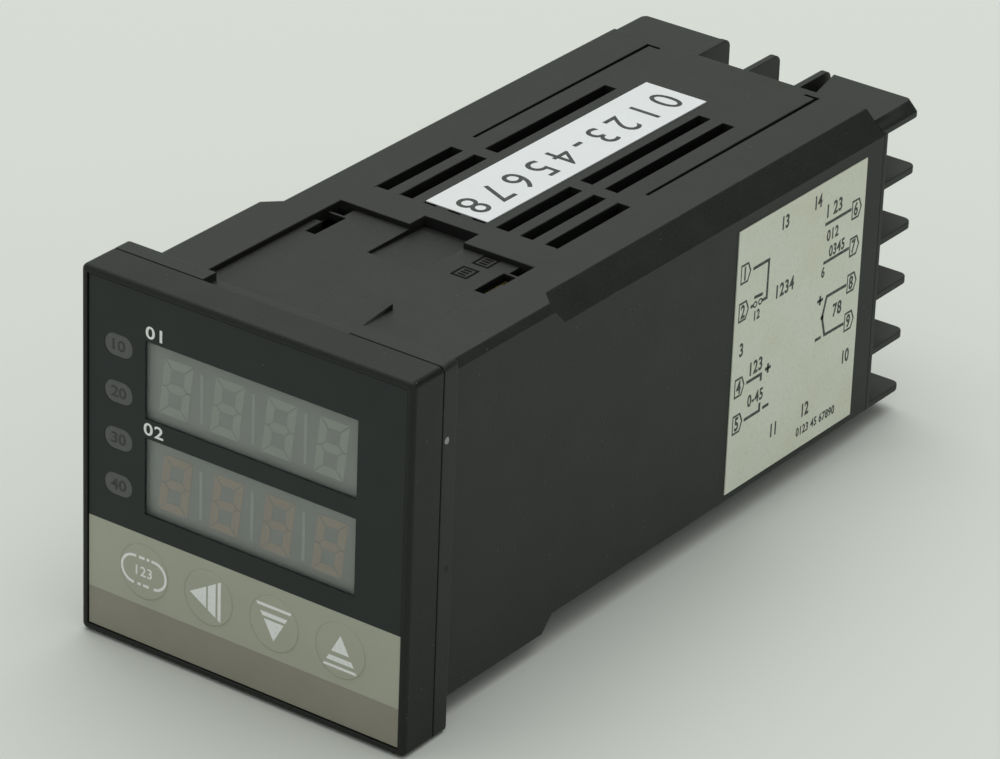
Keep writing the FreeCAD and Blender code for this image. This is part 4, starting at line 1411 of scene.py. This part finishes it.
@dataclass
class CaseBody(SubAssembly):
    """The case shell with the terminal block in its rear end."""

    case_rounding: float = 0.14
    block_rounding: float = 0.1
    seat_floor: float = 45.3
    stamps: tuple[Point, ...] = ((8.0, -23.3), (8.25, -19.45))
    stamp_half: Point = (1.35, 1.2)
    stamp_line: float = 0.32
    stamp_bars: tuple[float, ...] = (-0.6, 0.0, 0.6)
    stamp_bar_half: float = 0.55

    def stamp(self) -> None:
        """Two small mould stamps in the floor of the bracket seat, their engraved lines drawn as
        near-black raised print: painted shade.
        """
        wide, tall = self.stamp_half
        line, end = self.stamp_line, self.stamp_bar_half
        for index, (across, depth) in enumerate(self.stamps, start=1):
            marks = Print(Plane((across, depth, self.seat_floor), Facing.TOP_TO_FRONT))
            marks.band(rectangle(wide, tall), rectangle(wide - line, tall - line))
            for bar in self.stamp_bars:
                marks.stroke([(bar, -end), (bar, end)], line)
            marks.piece(f"mould_stamp_{index}", STAMP_PAINTED_SHADE, Body.CASE)

    def build(self) -> None:
        """Stamp the seat and round the edges of both mouldings."""
        self.stamp()
        shell = ("case_moulding", "case_shell", "case_plastic")
        Moulding(*shell, Body.CASE, CASE, CASE_EDGE, self.case_rounding).build()
        rear = ("terminal_moulding", "terminal_block", "block_plastic")
        Moulding(*rear, Body.CASE, BLOCK, BLOCK_EDGE, self.block_rounding).build()


@dataclass
class RearTerminals(SubAssembly):
    """Clamp screws, washers and plates of the fourteen terminals."""

    side_count: int = 5
    end_count: int = 2
    side_turn: float = 9.0
    end_turn: float = 31.0
    head_radius: float = 2.75
    head_height: float = 2.0
    head_foot: float = 0.12
    shank_radius: float = 1.5
    shank_length: float = 6.0
    shank_point: float = 0.4
    cross_width: float = 0.9
    cross_reach: float = 1.6
    cross_depth: float = 1.1
    cutter_rise: float = 0.5
    sides: int = 32

    CROWN: ClassVar[tuple[Point, ...]] = ((0.0, 0.0), (0.45, 0.04), (0.72, 0.18), (0.9, 0.45))
    CROWN_EDGE: ClassVar[float] = 0.95

    def screw(self) -> Shape:
        """A pan head screw with a cross recess.

        Returns:
            The screw in metres, with its seat at the origin.
        """
        radius, height, foot = self.head_radius, self.head_height, self.head_foot
        shank, point = self.shank_radius, self.shank_point
        profile = [(radius * share, height - drop) for share, drop in self.CROWN]
        profile += [(radius, height - self.CROWN_EDGE), (radius, foot), (radius - foot, 0.0)]
        profile += [(shank, 0.0), (shank, point - self.shank_length)]
        profile += [(shank - point, -self.shank_length), (0.0, -self.shank_length)]
        half, reach, depth = self.cross_width / 2, self.cross_reach, self.cross_depth
        cutter = Print(Plane((0, height - depth, 0), Facing.REAR), depth + self.cutter_rise)
        cutter.polygon(
            [
                (x * c - y * s, x * s + y * c)
                for c, s in ((1, 0), (0, 1), (-1, 0), (0, -1))
                for x, y in ((half, half), (half, reach), (-half, reach))
            ]
        )
        return cut_out(lathe(profile, self.sides), cutter.bake())

    def build(self) -> None:
        """Set the screws in two side rows of five and two end rows of two."""
        far = node_box("terminal_screws")[1]
        line, seat = far.x - self.head_radius, far.y - self.head_height
        middle = far.z - self.head_radius - line
        bottom = first_of(self.side_count, middle, TERMINAL_PITCH)
        left = first_of(self.end_count, 0.0, TERMINAL_PITCH)
        upward, across = (0, 0, TERMINAL_PITCH), (TERMINAL_PITCH, 0, 0)
        rows = [
            Row(self.side_count, (side * line, seat, bottom), upward, (0, self.side_turn, 0))
            for side in (-1, 1)
        ]
        rows += [
            Row(self.end_count, (left, seat, middle + end * line), across, (0, self.end_turn, 0))
            for end in (-1, 1)
        ]
        screws = ROWS.piece("clamp_screws", self.screw(), rows, STEEL, Body.CASE, "screw_steel")
        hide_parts("terminal_screws")

    def dress(self) -> None:
        """Plate the washers and the terminal plates."""
        dress(STEEL, "clamp_washers")
        dress(BRASS, "terminal_plates")


@dataclass
class SideLabel(SubAssembly):
    """The wiring label on the right side, with plain terminal numbers.

    Places are across and up from the label's lower front corner.
    """

    scale: float = 0.985
    line: float = 0.42
    digit: float = 1.9
    weight: float = 0.028
    number_squeeze: float = 0.75
    word_spacing: float = 1.1
    word_squeeze: float = 0.8
    tag_width: float = 1.65
    tag_tip: float = 0.6
    tag_height: float = 2.7
    tag_shift: float = 0.1
    tag_inner: float = 0.8
    dot_radius: float = 0.36
    ring_line: float = 0.2
    steps: int = 16

    TAGS: ClassVar[tuple[tuple[int, float, float], ...]] = (
        (1, 0.75, 30.1),
        (2, 0.75, 24.9),
        (4, 0.8, 14.4),
        (5, 0.8, 9.3),
        (6, 25.75, 29.9),
        (7, 25.75, 24.7),
        (8, 25.75, 19.6),
        (9, 25.7, 14.2),
    )
    NUMBERS: ClassVar[tuple[tuple[int, Point], ...]] = (
        (3, (1.85, 19.55)),
        (10, (26.6, 9.3)),
        (11, (10.4, 5.15)),
        (12, (17.7, 5.2)),
        (13, (10.35, 34.0)),
        (14, (17.75, 34.1)),
    )
    WORDS: ClassVar[tuple[tuple[str, Point, float], ...]] = (
        ("1234", (11.1, 24.75), 1.9),
        ("12", (4.95, 23.3), 1.35),
        ("123", (5.5, 15.95), 1.9),
        ("0-45", (5.7, 11.5), 1.7),
        ("1 23", (21.6, 31.95), 1.9),
        ("012", (21.5, 28.4), 1.6),
        ("0345", (22.7, 26.0), 1.6),
        ("6", (19.8, 23.55), 1.5),
        ("78", (23.75, 17.05), 1.9),
        ("0123 45 67890", (20.3, 2.4), 1.3),
    )
    LINES: ClassVar[tuple[tuple[Point, ...], ...]] = (
        ((3.5, 30.05), (7.0, 30.05), (6.95, 24.85), (5.95, 24.85)),
        ((3.4, 24.85), (4.05, 24.85)),
        ((4.1, 25.9), (6.0, 25.75)),
        ((3.45, 14.35), (6.75, 14.35), (6.75, 13.4)),
        ((3.4, 9.2), (6.8, 9.2), (6.8, 10.3)),
        ((7.5, 9.3), (8.9, 9.3)),
        ((7.6, 14.6), (8.9, 14.6)),
        ((8.25, 13.95), (8.25, 15.25)),
        ((19.6, 30.2), (25.6, 30.2)),
        ((19.75, 24.8), (25.6, 24.8)),
        ((25.6, 19.63), (21.1, 19.7), (20.3, 17.05), (21.1, 14.3), (25.6, 14.2)),
        ((18.9, 19.7), (20.2, 19.7)),
        ((19.55, 19.05), (19.55, 20.35)),
        ((18.95, 14.3), (20.3, 14.3)),
    )
    RINGS: ClassVar[tuple[Point, ...]] = ((4.4, 24.85), (5.55, 24.85))
    JUNCTION: ClassVar[Point] = (20.3, 17.05)

    def number(self, marks: Print, number: int, centre: Point) -> None:
        """A terminal's number."""
        style = {"squeeze": self.number_squeeze, "weight": self.weight}
        marks.text(str(number), centre, self.digit, **style)

    def tag(self, marks: Print, number: int, left: float, middle: float) -> None:
        """A number in a pointed frame.

        Args:
            marks: The print that it joins.
            number: The terminal's number.
            left: Left edge of the frame.
            middle: Middle height of the frame.
        """
        half, right = self.tag_height / 2, left + self.tag_width
        outline = [
            (left, middle - half),
            (right, middle - half),
            (right + self.tag_tip, middle),
            (right, middle + half),
            (left, middle + half),
        ]
        centre = Vector((left + self.tag_width / 2 + self.tag_shift, middle))
        inner = [tuple(centre + (Vector(p) - centre) * self.tag_inner) for p in outline]
        marks.band(outline, inner)
        self.number(marks, number, tuple(centre))

    def build(self) -> None:
        """Print the numbers and the wiring lines."""
        low, high = node_box("side_label")
        marks = Print(Plane((high.x, low.y, low.z), Facing.RIGHT, self.scale))
        for number, left, middle in self.TAGS:
            self.tag(marks, number, left, middle)
        for number, centre in self.NUMBERS:
            self.number(marks, number, centre)
        style = (self.word_spacing, self.word_squeeze, self.weight)
        for words, centre, height in self.WORDS:
            marks.text(words, centre, height, *style)
        for points in self.LINES:
            marks.stroke(points, self.line)
        for centre in self.RINGS:
            marks.ring(centre, self.dot_radius, self.ring_line, self.steps)
        marks.polygon(circle(self.JUNCTION, self.dot_radius, self.steps))
        marks.piece("label_numbers", LABEL_INK, Body.CASE)

    def dress(self) -> None:
        """Give the label its stock."""
        dress(LABEL_PAPER, "side_label")


@dataclass
class TopSticker(SubAssembly):
    """The white sticker on the top, with plain digits."""

    inset: float = 2.85
    digit: float = 4.55
    spacing: float = 1.45
    squeeze: float = 0.97
    front_margin: float = 0.25
    words: str = "0123-45678"

    def build(self) -> None:
        """Print the digits, read from the rear to the front."""
        low, high = node_box("top_sticker")
        centre = low.x + self.inset + self.digit / 2
        middle = (low.y + high.y) / 2 - self.front_margin
        marks = Print(Plane((centre, middle, high.z), Facing.TOP_TO_FRONT))
        marks.text(self.words, (0, 0), self.digit, self.spacing, self.squeeze)
        marks.piece("sticker_digits", STICKER_INK, Body.CASE)

    def dress(self) -> None:
        """Give the sticker its stock."""
        dress(STICKER_PAPER, "top_sticker")


@dataclass
class FrontFrame(SubAssembly):
    """The moulded frame round the front film."""

    rounding: float = 0.12

    def build(self) -> None:
        """Round the edges of the moulding."""
        names = ("frame_moulding", "front_frame", "frame_plastic")
        Moulding(*names, Body.WORKS, FRAME, FRAME_EDGE, self.rounding).build()


@dataclass
class OverlayFilm(SubAssembly):
    """The printed front film with the captions of its two windows."""

    caption_left: float = -14.7
    caption_height: float = 1.6
    caption_width: float = 2.9
    caption_spacing: float = 1.1
    caption_squeeze: float = 1.3
    caption_weight: float = 0.016
    caption_gap: float = 0.85
    groove_inner: float = 3.56
    groove_outer: float = 3.665
    groove_thickness: float = 0.335
    groove_steps: int = 64

    def build(self) -> None:
        """Print the captions and line the gaps round the keys."""
        low, high = node_box("overlay_film")
        marks = Print(Plane((0, low.y, 0), Facing.FRONT))
        style = (self.caption_spacing, self.caption_squeeze, self.caption_weight)
        for words, window in (("01", "upper_display"), ("02", "lower_display")):
            level = node_box(window)[1].z + self.caption_gap
            place = (self.caption_left + self.caption_width / 2, level)
            marks.text(words, place, self.caption_height, *style)
        marks.piece("window_captions", WHITE_INK, Body.WORKS)
        grooves = Print(Plane((0, high.y, 0), Facing.FRONT), self.groove_thickness)
        for key in ("set", "shift", "down", "up"):
            middle = node_middle(key + "_key_dome")
            radii = (self.groove_outer, self.groove_inner)
            grooves.band(*(circle((middle.x, middle.z), r, self.groove_steps) for r in radii))
        grooves.piece("key_grooves", FILM, Body.WORKS, "front_film")

    def dress(self) -> None:
        """Print the film's bands."""
        dress(FILM, "overlay_film")


@dataclass
class Windows(SubAssembly):
    """The smoked window with the two numeral displays behind it."""

    plate_gap: float = 0.06
    plate_setback: float = 0.03
    plate_rounding: float = 0.1
    pane_inset: float = 0.42
    pane_setback: float = 0.03
    pane_rounding: float = 0.02
    digit_count: int = 4
    digit_width: float = 4.25
    digit_height: float = 7.3
    digit_pitch: float = 7.5
    first_digit: float = -10.2
    divider_width: float = 0.45
    divider_height: float = 6.4
    divider_rounding: float = 0.005
    bar: float = 1.15
    lean: float = 0.12
    gap: float = 0.1

    def segments(self) -> Shape:
        """Seven mitred bars of one numeral.

        Returns:
            The bars in metres, about the numeral's middle.
        """
        marks = Print(Plane((0, 0, 0), Facing.FRONT))
        wide, tall, bar, gap = self.digit_width / 2, self.digit_height / 2, self.bar, self.gap
        inner, neck, low = wide - bar, wide - bar / 2, tall - bar
        level = [(gap - wide, tall), (wide - gap, tall), (inner - gap, low), (gap - inner, low)]
        upright = [(wide, gap), (wide, tall - gap), (inner, low - gap)]
        upright += [(inner, bar / 2 + gap), (neck, gap)]
        half = [(gap - neck, 0), (gap - inner, bar / 2), (inner - gap, bar / 2), (neck - gap, 0)]
        outlines = [half + [(inner - gap, -bar / 2), (gap - inner, -bar / 2)]]
        for up in (-1, 1):
            outlines.append([(x, up * y) for x, y in level])
            outlines += [[(side * x, up * y) for x, y in upright] for side in (-1, 1)]
        for outline in outlines:
            marks.polygon([(x + y * self.lean, y) for x, y in outline])
        return marks.bake()

    def numerals(self, name: str, finish: Finish, face: float) -> None:
        """Unlit numerals of one display, with dividers between them.

        Args:
            name: Name of the display.
            finish: Finish of its segments.
            face: Depth of the plate that shows them.
        """
        level = node_middle(name + "_display").z
        pitch, count = self.digit_pitch, self.digit_count
        digits = Row(count, (self.first_digit, face, level), (pitch, 0, 0))
        ROWS.piece(name + "_numerals", self.segments(), [digits], finish, Body.WORKS)
        half = Vector((self.divider_width / 2, INK, self.divider_height / 2))
        divider = block(-half, half, self.divider_rounding)
        gaps = Row(count - 1, (self.first_digit + pitch / 2, face, level), (pitch, 0, 0))
        ROWS.piece(name + "_dividers", divider, [gaps], DIVIDER, Body.WORKS)

    def build(self) -> None:
        """Make the window plate, the clear panes in the film and the unlit numerals."""
        low, high = node_box("window_filter")
        high.y -= self.plate_gap
        low.y += self.plate_setback
        face = low.y
        plate = block(low, high, self.plate_rounding)
        window = new_piece("window_plate", plate, WINDOW, Body.WORKS)
        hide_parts("window_filter")
        film_low, film_high = node_box("overlay_film")
        inset = Vector((self.pane_inset, 0, self.pane_inset))
        for name, finish in (("upper", UPPER_SEGMENT), ("lower", LOWER_SEGMENT)):
            low, high = node_box(name + "_display")
            low, high = low + inset, high - inset
            low.y, high.y = film_low.y + self.pane_setback, film_high.y - self.pane_setback
            pane = block(low, high, self.pane_rounding)
            new_piece(name + "_pane", pane, PANE, Body.WORKS)
            self.numerals(name, finish, face)

    def dress(self) -> None:
        """Give the displays their grey faces."""
        dress(DISPLAY, "upper_display", "lower_display")


@dataclass
class SignalLamps(SubAssembly):
    """Four signal lamps at the left of the windows, with plain numbers."""

    count: int = 4
    number_step: int = 10
    digit: float = 1.45
    squeeze: float = 1.2
    weight: float = 0.02
    guide_height: float = 2.65
    lens_width: float = 4.11
    lens_height: float = 2.81
    lens_corner: float = 1.355
    corner_steps: int = 8
    setback: float = 0.05

    def build(self) -> None:
        """Fill each lamp's opening with a lens and print a number on it."""
        low, high = node_box("lamp_guides")
        film_low, film_high = node_box("overlay_film")
        step = (high.z - low.z - self.guide_height) / (self.count - 1)
        top = high.z - self.guide_height / 2
        across = (low.x + high.x) / 2
        face = film_low.y + self.setback
        lenses = Print(Plane((across, film_high.y, top), Facing.FRONT), film_high.y - face)
        marks = Print(Plane((across, face, top), Facing.FRONT))
        corner = self.lens_corner
        wide, tall = self.lens_width / 2 - corner, self.lens_height / 2 - corner
        corners = ((0, wide, tall), (90, -wide, tall), (180, -wide, -tall), (270, wide, -tall))
        for index in range(self.count):
            level = -index * step
            outline = []
            for turn, x, y in corners:
                outline += arc((x, level + y), corner, turn, turn + 90, self.corner_steps)
            lenses.polygon(outline)
            number = str(self.number_step * (index + 1))
            style = {"squeeze": self.squeeze, "weight": self.weight}
            marks.text(number, (0.0, level), self.digit, **style)
        lenses.piece("lamp_lenses", LENS, Body.WORKS)
        marks.piece("lamp_numbers", DARK_INK, Body.WORKS)

    def dress(self) -> None:
        """Finish the guides and the lamps behind them."""
        dress(GUIDE, "lamp_guides")
        dress(LAMP, "lamp_leds")


@dataclass(frozen=True)
class PillMark:
    """A broken oval line with three digits in it.

    Each dash has its start, its end and the side that it is on, above or below the digits.
    """

    straight: float = 1.5
    radius: float = 1.8
    tail: float = 0.35
    line: float = 0.34
    dashes: tuple[Triple, ...] = (
        (-0.75, 0.1, 1),
        (0.42, 0.82, 1),
        (-0.1, 0.75, -1),
        (-0.95, -0.45, -1),
    )
    steps: int = 16
    words: str = "123"
    digit: float = 1.3
    spacing: float = 1.1
    weight: float = 0.012

    def draw(self, marks: Print) -> None:
        """Print the mark about the plane's origin.

        Args:
            marks: The print that it joins.
        """
        straight, radius = self.straight, self.radius
        end = straight - self.tail
        left = arc((-straight, 0), radius, 90, 270, self.steps)
        right = arc((straight, 0), radius, -90, 90, self.steps)
        marks.stroke([(-end, radius), *left], self.line)
        marks.stroke([*right, (end, radius)], self.line)
        for start, stop, side in self.dashes:
            marks.stroke([(start, side * radius), (stop, side * radius)], self.line)
        marks.text(self.words, (0.0, 0.0), self.digit, self.spacing, weight=self.weight)


@dataclass(frozen=True)
class ArrowMark:
    """An arrow head sliced by gaps.

    The cuts are the start and end of each slice from the tip, half is half of the width at the
    last slice's end, and turn is the direction from the tip to the base in degrees.
    """

    cuts: tuple[Point, ...]
    half: float
    turn: float
    tip: Point

    def draw(self, marks: Print) -> None:
        """Print the slices.

        Args:
            marks: The print that they join.
        """
        angle = math.radians(self.turn)
        along = Vector((math.cos(angle), math.sin(angle)))
        side = Vector((-along.y, along.x)) * self.half / self.cuts[-1][1]
        for start, end in self.cuts:
            corners = [(start, -start), (end, -end), (end, end), (start, start)]
            points = [tuple(Vector(self.tip) + along * d + side * w) for d, w in corners]
            marks.polygon(points if start else points[1:])


class KeyMark(Enum):
    """What is printed on a key."""

    PILL = PillMark()
    LEFT_ARROW = ArrowMark(((0.0, 2.45), (2.7, 3.85), (4.15, 4.6)), 2.7, 0, (-2.75, 0.0))
    DOWN_ARROW = ArrowMark(((0.0, 2.57), (2.93, 3.49), (4.19, 4.56)), 2.6, 90, (0.0, -2.26))
    UP_ARROW = ArrowMark(((0.0, 2.34), (2.94, 3.59), (4.09, 4.44)), 2.45, -90, (0.0, 1.99))


@dataclass
class FrontKey(SubAssembly):
    """One key of the front: its dome in the film, plunger and switch button."""

    name: str
    body: Body
    mark: KeyMark

    def build(self) -> None:
        """Print the key's mark on its dome."""
        middle = node_middle(self.name + "_key_dome")
        face = node_box(self.name + "_key_dome")[0].y
        marks = Print(Plane((middle.x, face, middle.z), Facing.FRONT))
        self.mark.value.draw(marks)
        marks.piece(self.name + "_key_mark", WHITE_INK, self.body)

    def dress(self) -> None:
        """Finish the dome, the plunger and the switch button."""
        dress(FILM, self.name + "_key_dome")
        dress(PLUNGER, self.name + "_key_plunger")
        dress(SWITCH, self.name + "_switch_button")


@dataclass
class Boards(SubAssembly):
    """The circuit boards with what stands on them."""

    pin_pitch: float = 2.54
    pin_count: int = 10
    pin_half: float = 0.32
    pin_length: float = 1.6
    pin_rounding: float = 0.08
    chip_pitch: float = 1.0
    chip_legs: int = 11
    memory_pitch: float = 1.27
    memory_legs: int = 4
    memory_half: float = 2.0
    leg_width: float = 0.4
    leg_thickness: float = 0.15
    solder_sides: int = 12
    display_points: int = 14
    display_left: float = -16.0
    display_pitch: float = 2.4
    display_levels: tuple[float, ...] = (19.6, 27.4, 32.4, 40.2)
    header_inset: float = 1.7
    terminal_points: int = 5
    terminal_insets: tuple[float, ...] = (5.0, 2.0)
    lead_points: int = 6
    lead_start: float = -27.5
    lead_pitch: float = 9.3
    lead_stagger: float = 0.3
    lead_levels: tuple[float, ...] = (10.0, 16.0, 19.0, 29.0, 33.0, 37.0)
    resistor_half: Point = (1.1, 0.8)
    resistor_height: float = 0.6
    resistor_rounding: float = 0.06
    cap_span: Point = (1.0, 1.6)
    cap_half: float = 0.82
    cap_height: float = 0.64

    LEG: ClassVar[tuple[Point, ...]] = ((-0.1, 0.85), (0.4, 0.85), (0.55, 0.08), (1.1, 0.08))
    SOLDER_DROP: ClassVar[tuple[Point, ...]] = (
        (0.0, 0.95),
        (0.2, 0.92),
        (0.25, 0.6),
        (0.42, 0.3),
        (0.75, 0.06),
        (0.8, 0.0),
        (0.0, 0.0),
    )
    RESISTORS: ClassVar[tuple[tuple[int, float, float, tuple[float, ...]], ...]] = (
        (7, -38.0, 4.4, (9.5, 13.0, 35.0, 39.5)),
        (6, 8.0, 4.6, (12.0, 17.0, 32.0, 37.0)),
    )

    def chip_rows(self) -> list[Row]:
        """Where the legs of the two chips go.

        Returns:
            Four rows round the square processor and two along the memory.
        """
        middle, memory = node_middle("processor_chip"), node_middle("memory_chip")
        half = node_box("processor_chip")[1].z - middle.z
        face = node_box("main_board")[1].x
        count, rows = self.chip_legs, []
        for turn, (back, up) in ((0, (0, 1)), (90, (-1, 0)), (180, (0, -1)), (270, (1, 0))):
            step = (0, abs(up) * self.chip_pitch, abs(back) * self.chip_pitch)
            depth = first_of(count, middle.y + back * half, step[1])
            level = first_of(count, middle.z + up * half, step[2])
            rows.append(Row(count, (face, depth, level), step, (turn, 0, 0)))
        depth = first_of(self.memory_legs, memory.y, self.memory_pitch)
        for turn, up in ((0, 1), (180, -1)):
            start = (face, depth, memory.z + up * self.memory_half)
            rows.append(Row(self.memory_legs, start, (0, self.memory_pitch, 0), (turn, 0, 0)))
        return rows

    def build_legs(self) -> None:
        """Legs of the two chips, which run out and down to the board, and pins of the headers."""
        leg = Print(Plane((0, -self.leg_width / 2, 0), Facing.EDGEWISE), self.leg_width)
        leg.stroke(self.LEG, self.leg_thickness)
        ROWS.piece("chip_legs", leg.bake(), self.chip_rows(), SOLDER, Body.WORKS)
        half, length = self.pin_half, self.pin_length
        pin = block((-half, 0.0, -half), (half, length, half), self.pin_rounding)
        rows = []
        for header in ("main_header", "power_header"):
            middle = node_middle(header)
            bottom = first_of(self.pin_count, middle.z, self.pin_pitch)
            start = (middle.x, node_box(header)[1].y, bottom)
            rows.append(Row(self.pin_count, start, (0, 0, self.pin_pitch)))
        ROWS.piece("header_pins", pin, rows, SOLDER, Body.WORKS)

    def build_solder(self) -> None:
        """Drops of solder with clipped leads on the outer faces of the boards."""
        back = node_box("display_board")[1].y
        across = (self.display_pitch, 0, 0)
        rows = [
            Row(self.display_points, (self.display_left, back, level), across)
            for level in self.display_levels
        ]
        low, high = node_box("power_board")
        middle = (low.z + high.z) / 2
        lines = [(low.y + self.header_inset, self.pin_count, self.pin_pitch)]
        for inset in self.terminal_insets:
            lines.append((high.y - inset, self.terminal_points, TERMINAL_PITCH))
        for side in (-1, 1):
            face, turn = side * high.x, (0, 0, -90 * side)
            for depth, count, pitch in lines:
                start = (face, depth, first_of(count, middle, pitch))
                rows.append(Row(count, start, (0, 0, pitch), turn))
            for level in self.lead_levels:
                start = (face, self.lead_start + level * self.lead_stagger, level)
                rows.append(Row(self.lead_points, start, (0, self.lead_pitch, 0), turn))
        drop = lathe(self.SOLDER_DROP, self.solder_sides)
        ROWS.piece("solder_points", drop, rows, SOLDER, Body.WORKS)

    def build_resistors(self) -> None:
        """Rows of chip resistors with tinned ends on the main board."""
        face = node_box("main_board")[1].x
        rows = [
            Row(count, (face, start, level), (0, pitch, 0))
            for count, start, pitch, levels in self.RESISTORS
            for level in levels
        ]
        long, wide = self.resistor_half
        high = self.resistor_height
        body = block((0.0, -long, -wide), (high, long, wide), self.resistor_rounding)
        ROWS.piece("chip_resistors", body, rows, CERAMIC, Body.WORKS)
        half = self.cap_half
        for name, side in (("resistor_front_ends", -1), ("resistor_rear_ends", 1)):
            near, far = sorted(side * depth for depth in self.cap_span)
            cap = block((0.0, near, -half), (self.cap_height, far, half), self.pin_rounding)
            ROWS.piece(name, cap, rows, SOLDER, Body.WORKS)

    def build(self) -> None:
        """Make the legs, pins, solder and small parts."""
        self.build_legs()
        self.build_solder()
        self.build_resistors()

    def dress(self) -> None:
        """Finish the boards and the larger parts."""
        dress(BOARD, "display_board", "main_board", "power_board")
        dress(SWITCH, "key_switches", "main_header", "power_header")
        dress(PLUNGER, "board_spacer")
        dress(FERRITE, "transformer_core")
        dress(TAPE, "transformer_coil")
        dress(BULK_CAN, "bulk_capacitor")
        dress(OUTPUT_CAN, "output_capacitors")
        dress(RELAY, "alarm_relay")
        dress(CHIP, "processor_chip", "memory_chip")


@dataclass
class Studio(SubAssembly):
    """Pale table, soft light from above and the camera, in metres."""

    table_half: float = 3.0
    table_slope: float = 0.016
    table_drop: float = 5e-5
    sky: float = 0.43
    backdrop: Colour = (0.6, 0.635, 0.585)
    softbox_side: float = 1.3
    softbox_power: float = 7.4
    softbox_place: Place = (-0.15, 0.22, 1.0)
    flag_place: Place = (0.36, 0.58, 0.46)
    flag_width: float = 1.35
    flag_height: float = 0.95
    camera_place: Place = (0.338071, -0.482234, 0.31841)
    camera_aim: Place = (0.006289, -0.013006, 0.026803)
    camera_roll: float = 2.1791
    camera_lens: float = 194.916
    camera_sensor: float = 36.0
    camera_clip: Point = (0.01, 50.0)

    def panel(self, name: str, corners: Iterable[Place], finish: Finish) -> bpy.types.Object:
        """A flat sheet of the stage.

        Args:
            name: Its name.
            corners: Its corners in metres.
            finish: Its finish.

        Returns:
            The object.
        """
        shape = bmesh.new()
        shape.faces.new([shape.verts.new(corner) for corner in corners])
        mesh = new_mesh(name, shape)
        mesh.materials.append(finish.material())
        made = linked(name, mesh)
        return made

    def table(self) -> None:
        """The table top, on which the flange and the rear end rest."""
        start = node_box("case_shell")[0].y * MM
        corners = rectangle(self.table_half, self.table_half)
        slope, drop = self.table_slope, self.table_drop
        self.panel("table", [(x, y, slope * (y - start) - drop) for x, y in corners], FLOOR)

    def light(self) -> None:
        """An even sky for light, a pale backdrop for sight, and one softbox."""
        world = bpy.data.worlds.new("studio")
        bpy.context.scene.world = world
        tree = ShaderTree(world)
        sight, gloss, through = (
            tree.node("ShaderNodeLightPath", output=label)
            for label in ("Is Camera Ray", "Is Glossy Ray", "Is Transmission Ray")
        )
        sky = tree.node("ShaderNodeBackground", None, {"Color": WHITE, "Strength": self.sky})
        pale = tree.node("ShaderNodeBackground", None, {"Color": self.backdrop})
        seen = sight.most(gloss).most(through)
        shown = tree.node("ShaderNodeMixShader", None, {0: seen, 1: sky, 2: pale})
        tree.end(shown, "ShaderNodeOutputWorld")
        lamp = bpy.data.lights.new("softbox", "AREA")
        lamp.shape = "SQUARE"
        lamp.size = self.softbox_side
        lamp.energy = self.softbox_power
        made = linked("softbox", lamp)
        made.location = self.softbox_place
        towards = -Vector(self.softbox_place)
        made.rotation_euler = towards.to_track_quat("-Z", "Y").to_euler()

    def flag(self) -> None:
        """A black panel behind the right side, which the chamfered edges mirror."""
        towards = -Vector(self.flag_place)
        turn = towards.to_track_quat("Z", "Y").to_matrix().to_4x4()
        place = Matrix.Translation(self.flag_place) @ turn
        corners = rectangle(self.flag_width / 2, self.flag_height / 2)
        made = self.panel("flag", [place @ Vector((x, y, 0)) for x, y in corners], FLAG)
        made.visible_camera = False
        made.visible_diffuse = False
        made.visible_shadow = False

    def camera(self) -> None:
        """The camera at the photograph's angle."""
        eye = Vector(self.camera_place)
        ahead = (Vector(self.camera_aim) - eye).normalized()
        level = ahead.cross(Vector((0, 0, 1))).normalized()
        upright = level.cross(ahead)
        roll = math.radians(self.camera_roll)
        right = level * math.cos(roll) + upright * math.sin(roll)
        up = upright * math.cos(roll) - level * math.sin(roll)
        data = bpy.data.cameras.new("photo_camera")
        data.lens = self.camera_lens
        data.sensor_width = self.camera_sensor
        data.sensor_fit = "HORIZONTAL"
        data.clip_start, data.clip_end = self.camera_clip
        made = linked("photo_camera", data)
        turn = Matrix((right, up, -ahead)).transposed().to_4x4()
        made.matrix_world = Matrix.Translation(eye) @ turn
        bpy.context.scene.camera = made

    def build(self) -> None:
        """Set the stage."""
        self.table()
        self.light()
        self.flag()
        self.camera()
        bpy.context.scene.view_settings.view_transform = "Standard"


def main() -> None:
    """Build the part's looks in order, then the studio."""
    logging.basicConfig(level=logging.INFO, format="%(name)s %(message)s")
    for assembly in (
        CaseBody(),
        RearTerminals(),
        SideLabel(),
        TopSticker(),
        FrontFrame(),
        OverlayFilm(),
        Windows(),
        SignalLamps(),
        FrontKey("set", Body.SET_KEY, KeyMark.PILL),
        FrontKey("shift", Body.SHIFT_KEY, KeyMark.LEFT_ARROW),
        FrontKey("down", Body.DOWN_KEY, KeyMark.DOWN_ARROW),
        FrontKey("up", Body.UP_KEY, KeyMark.UP_ARROW),
        Boards(),
        Studio(),
    ):
        LOG.info("building %s", type(assembly).__name__)
        assembly.build()
        assembly.dress()


if __name__ == "__main__":
    main()
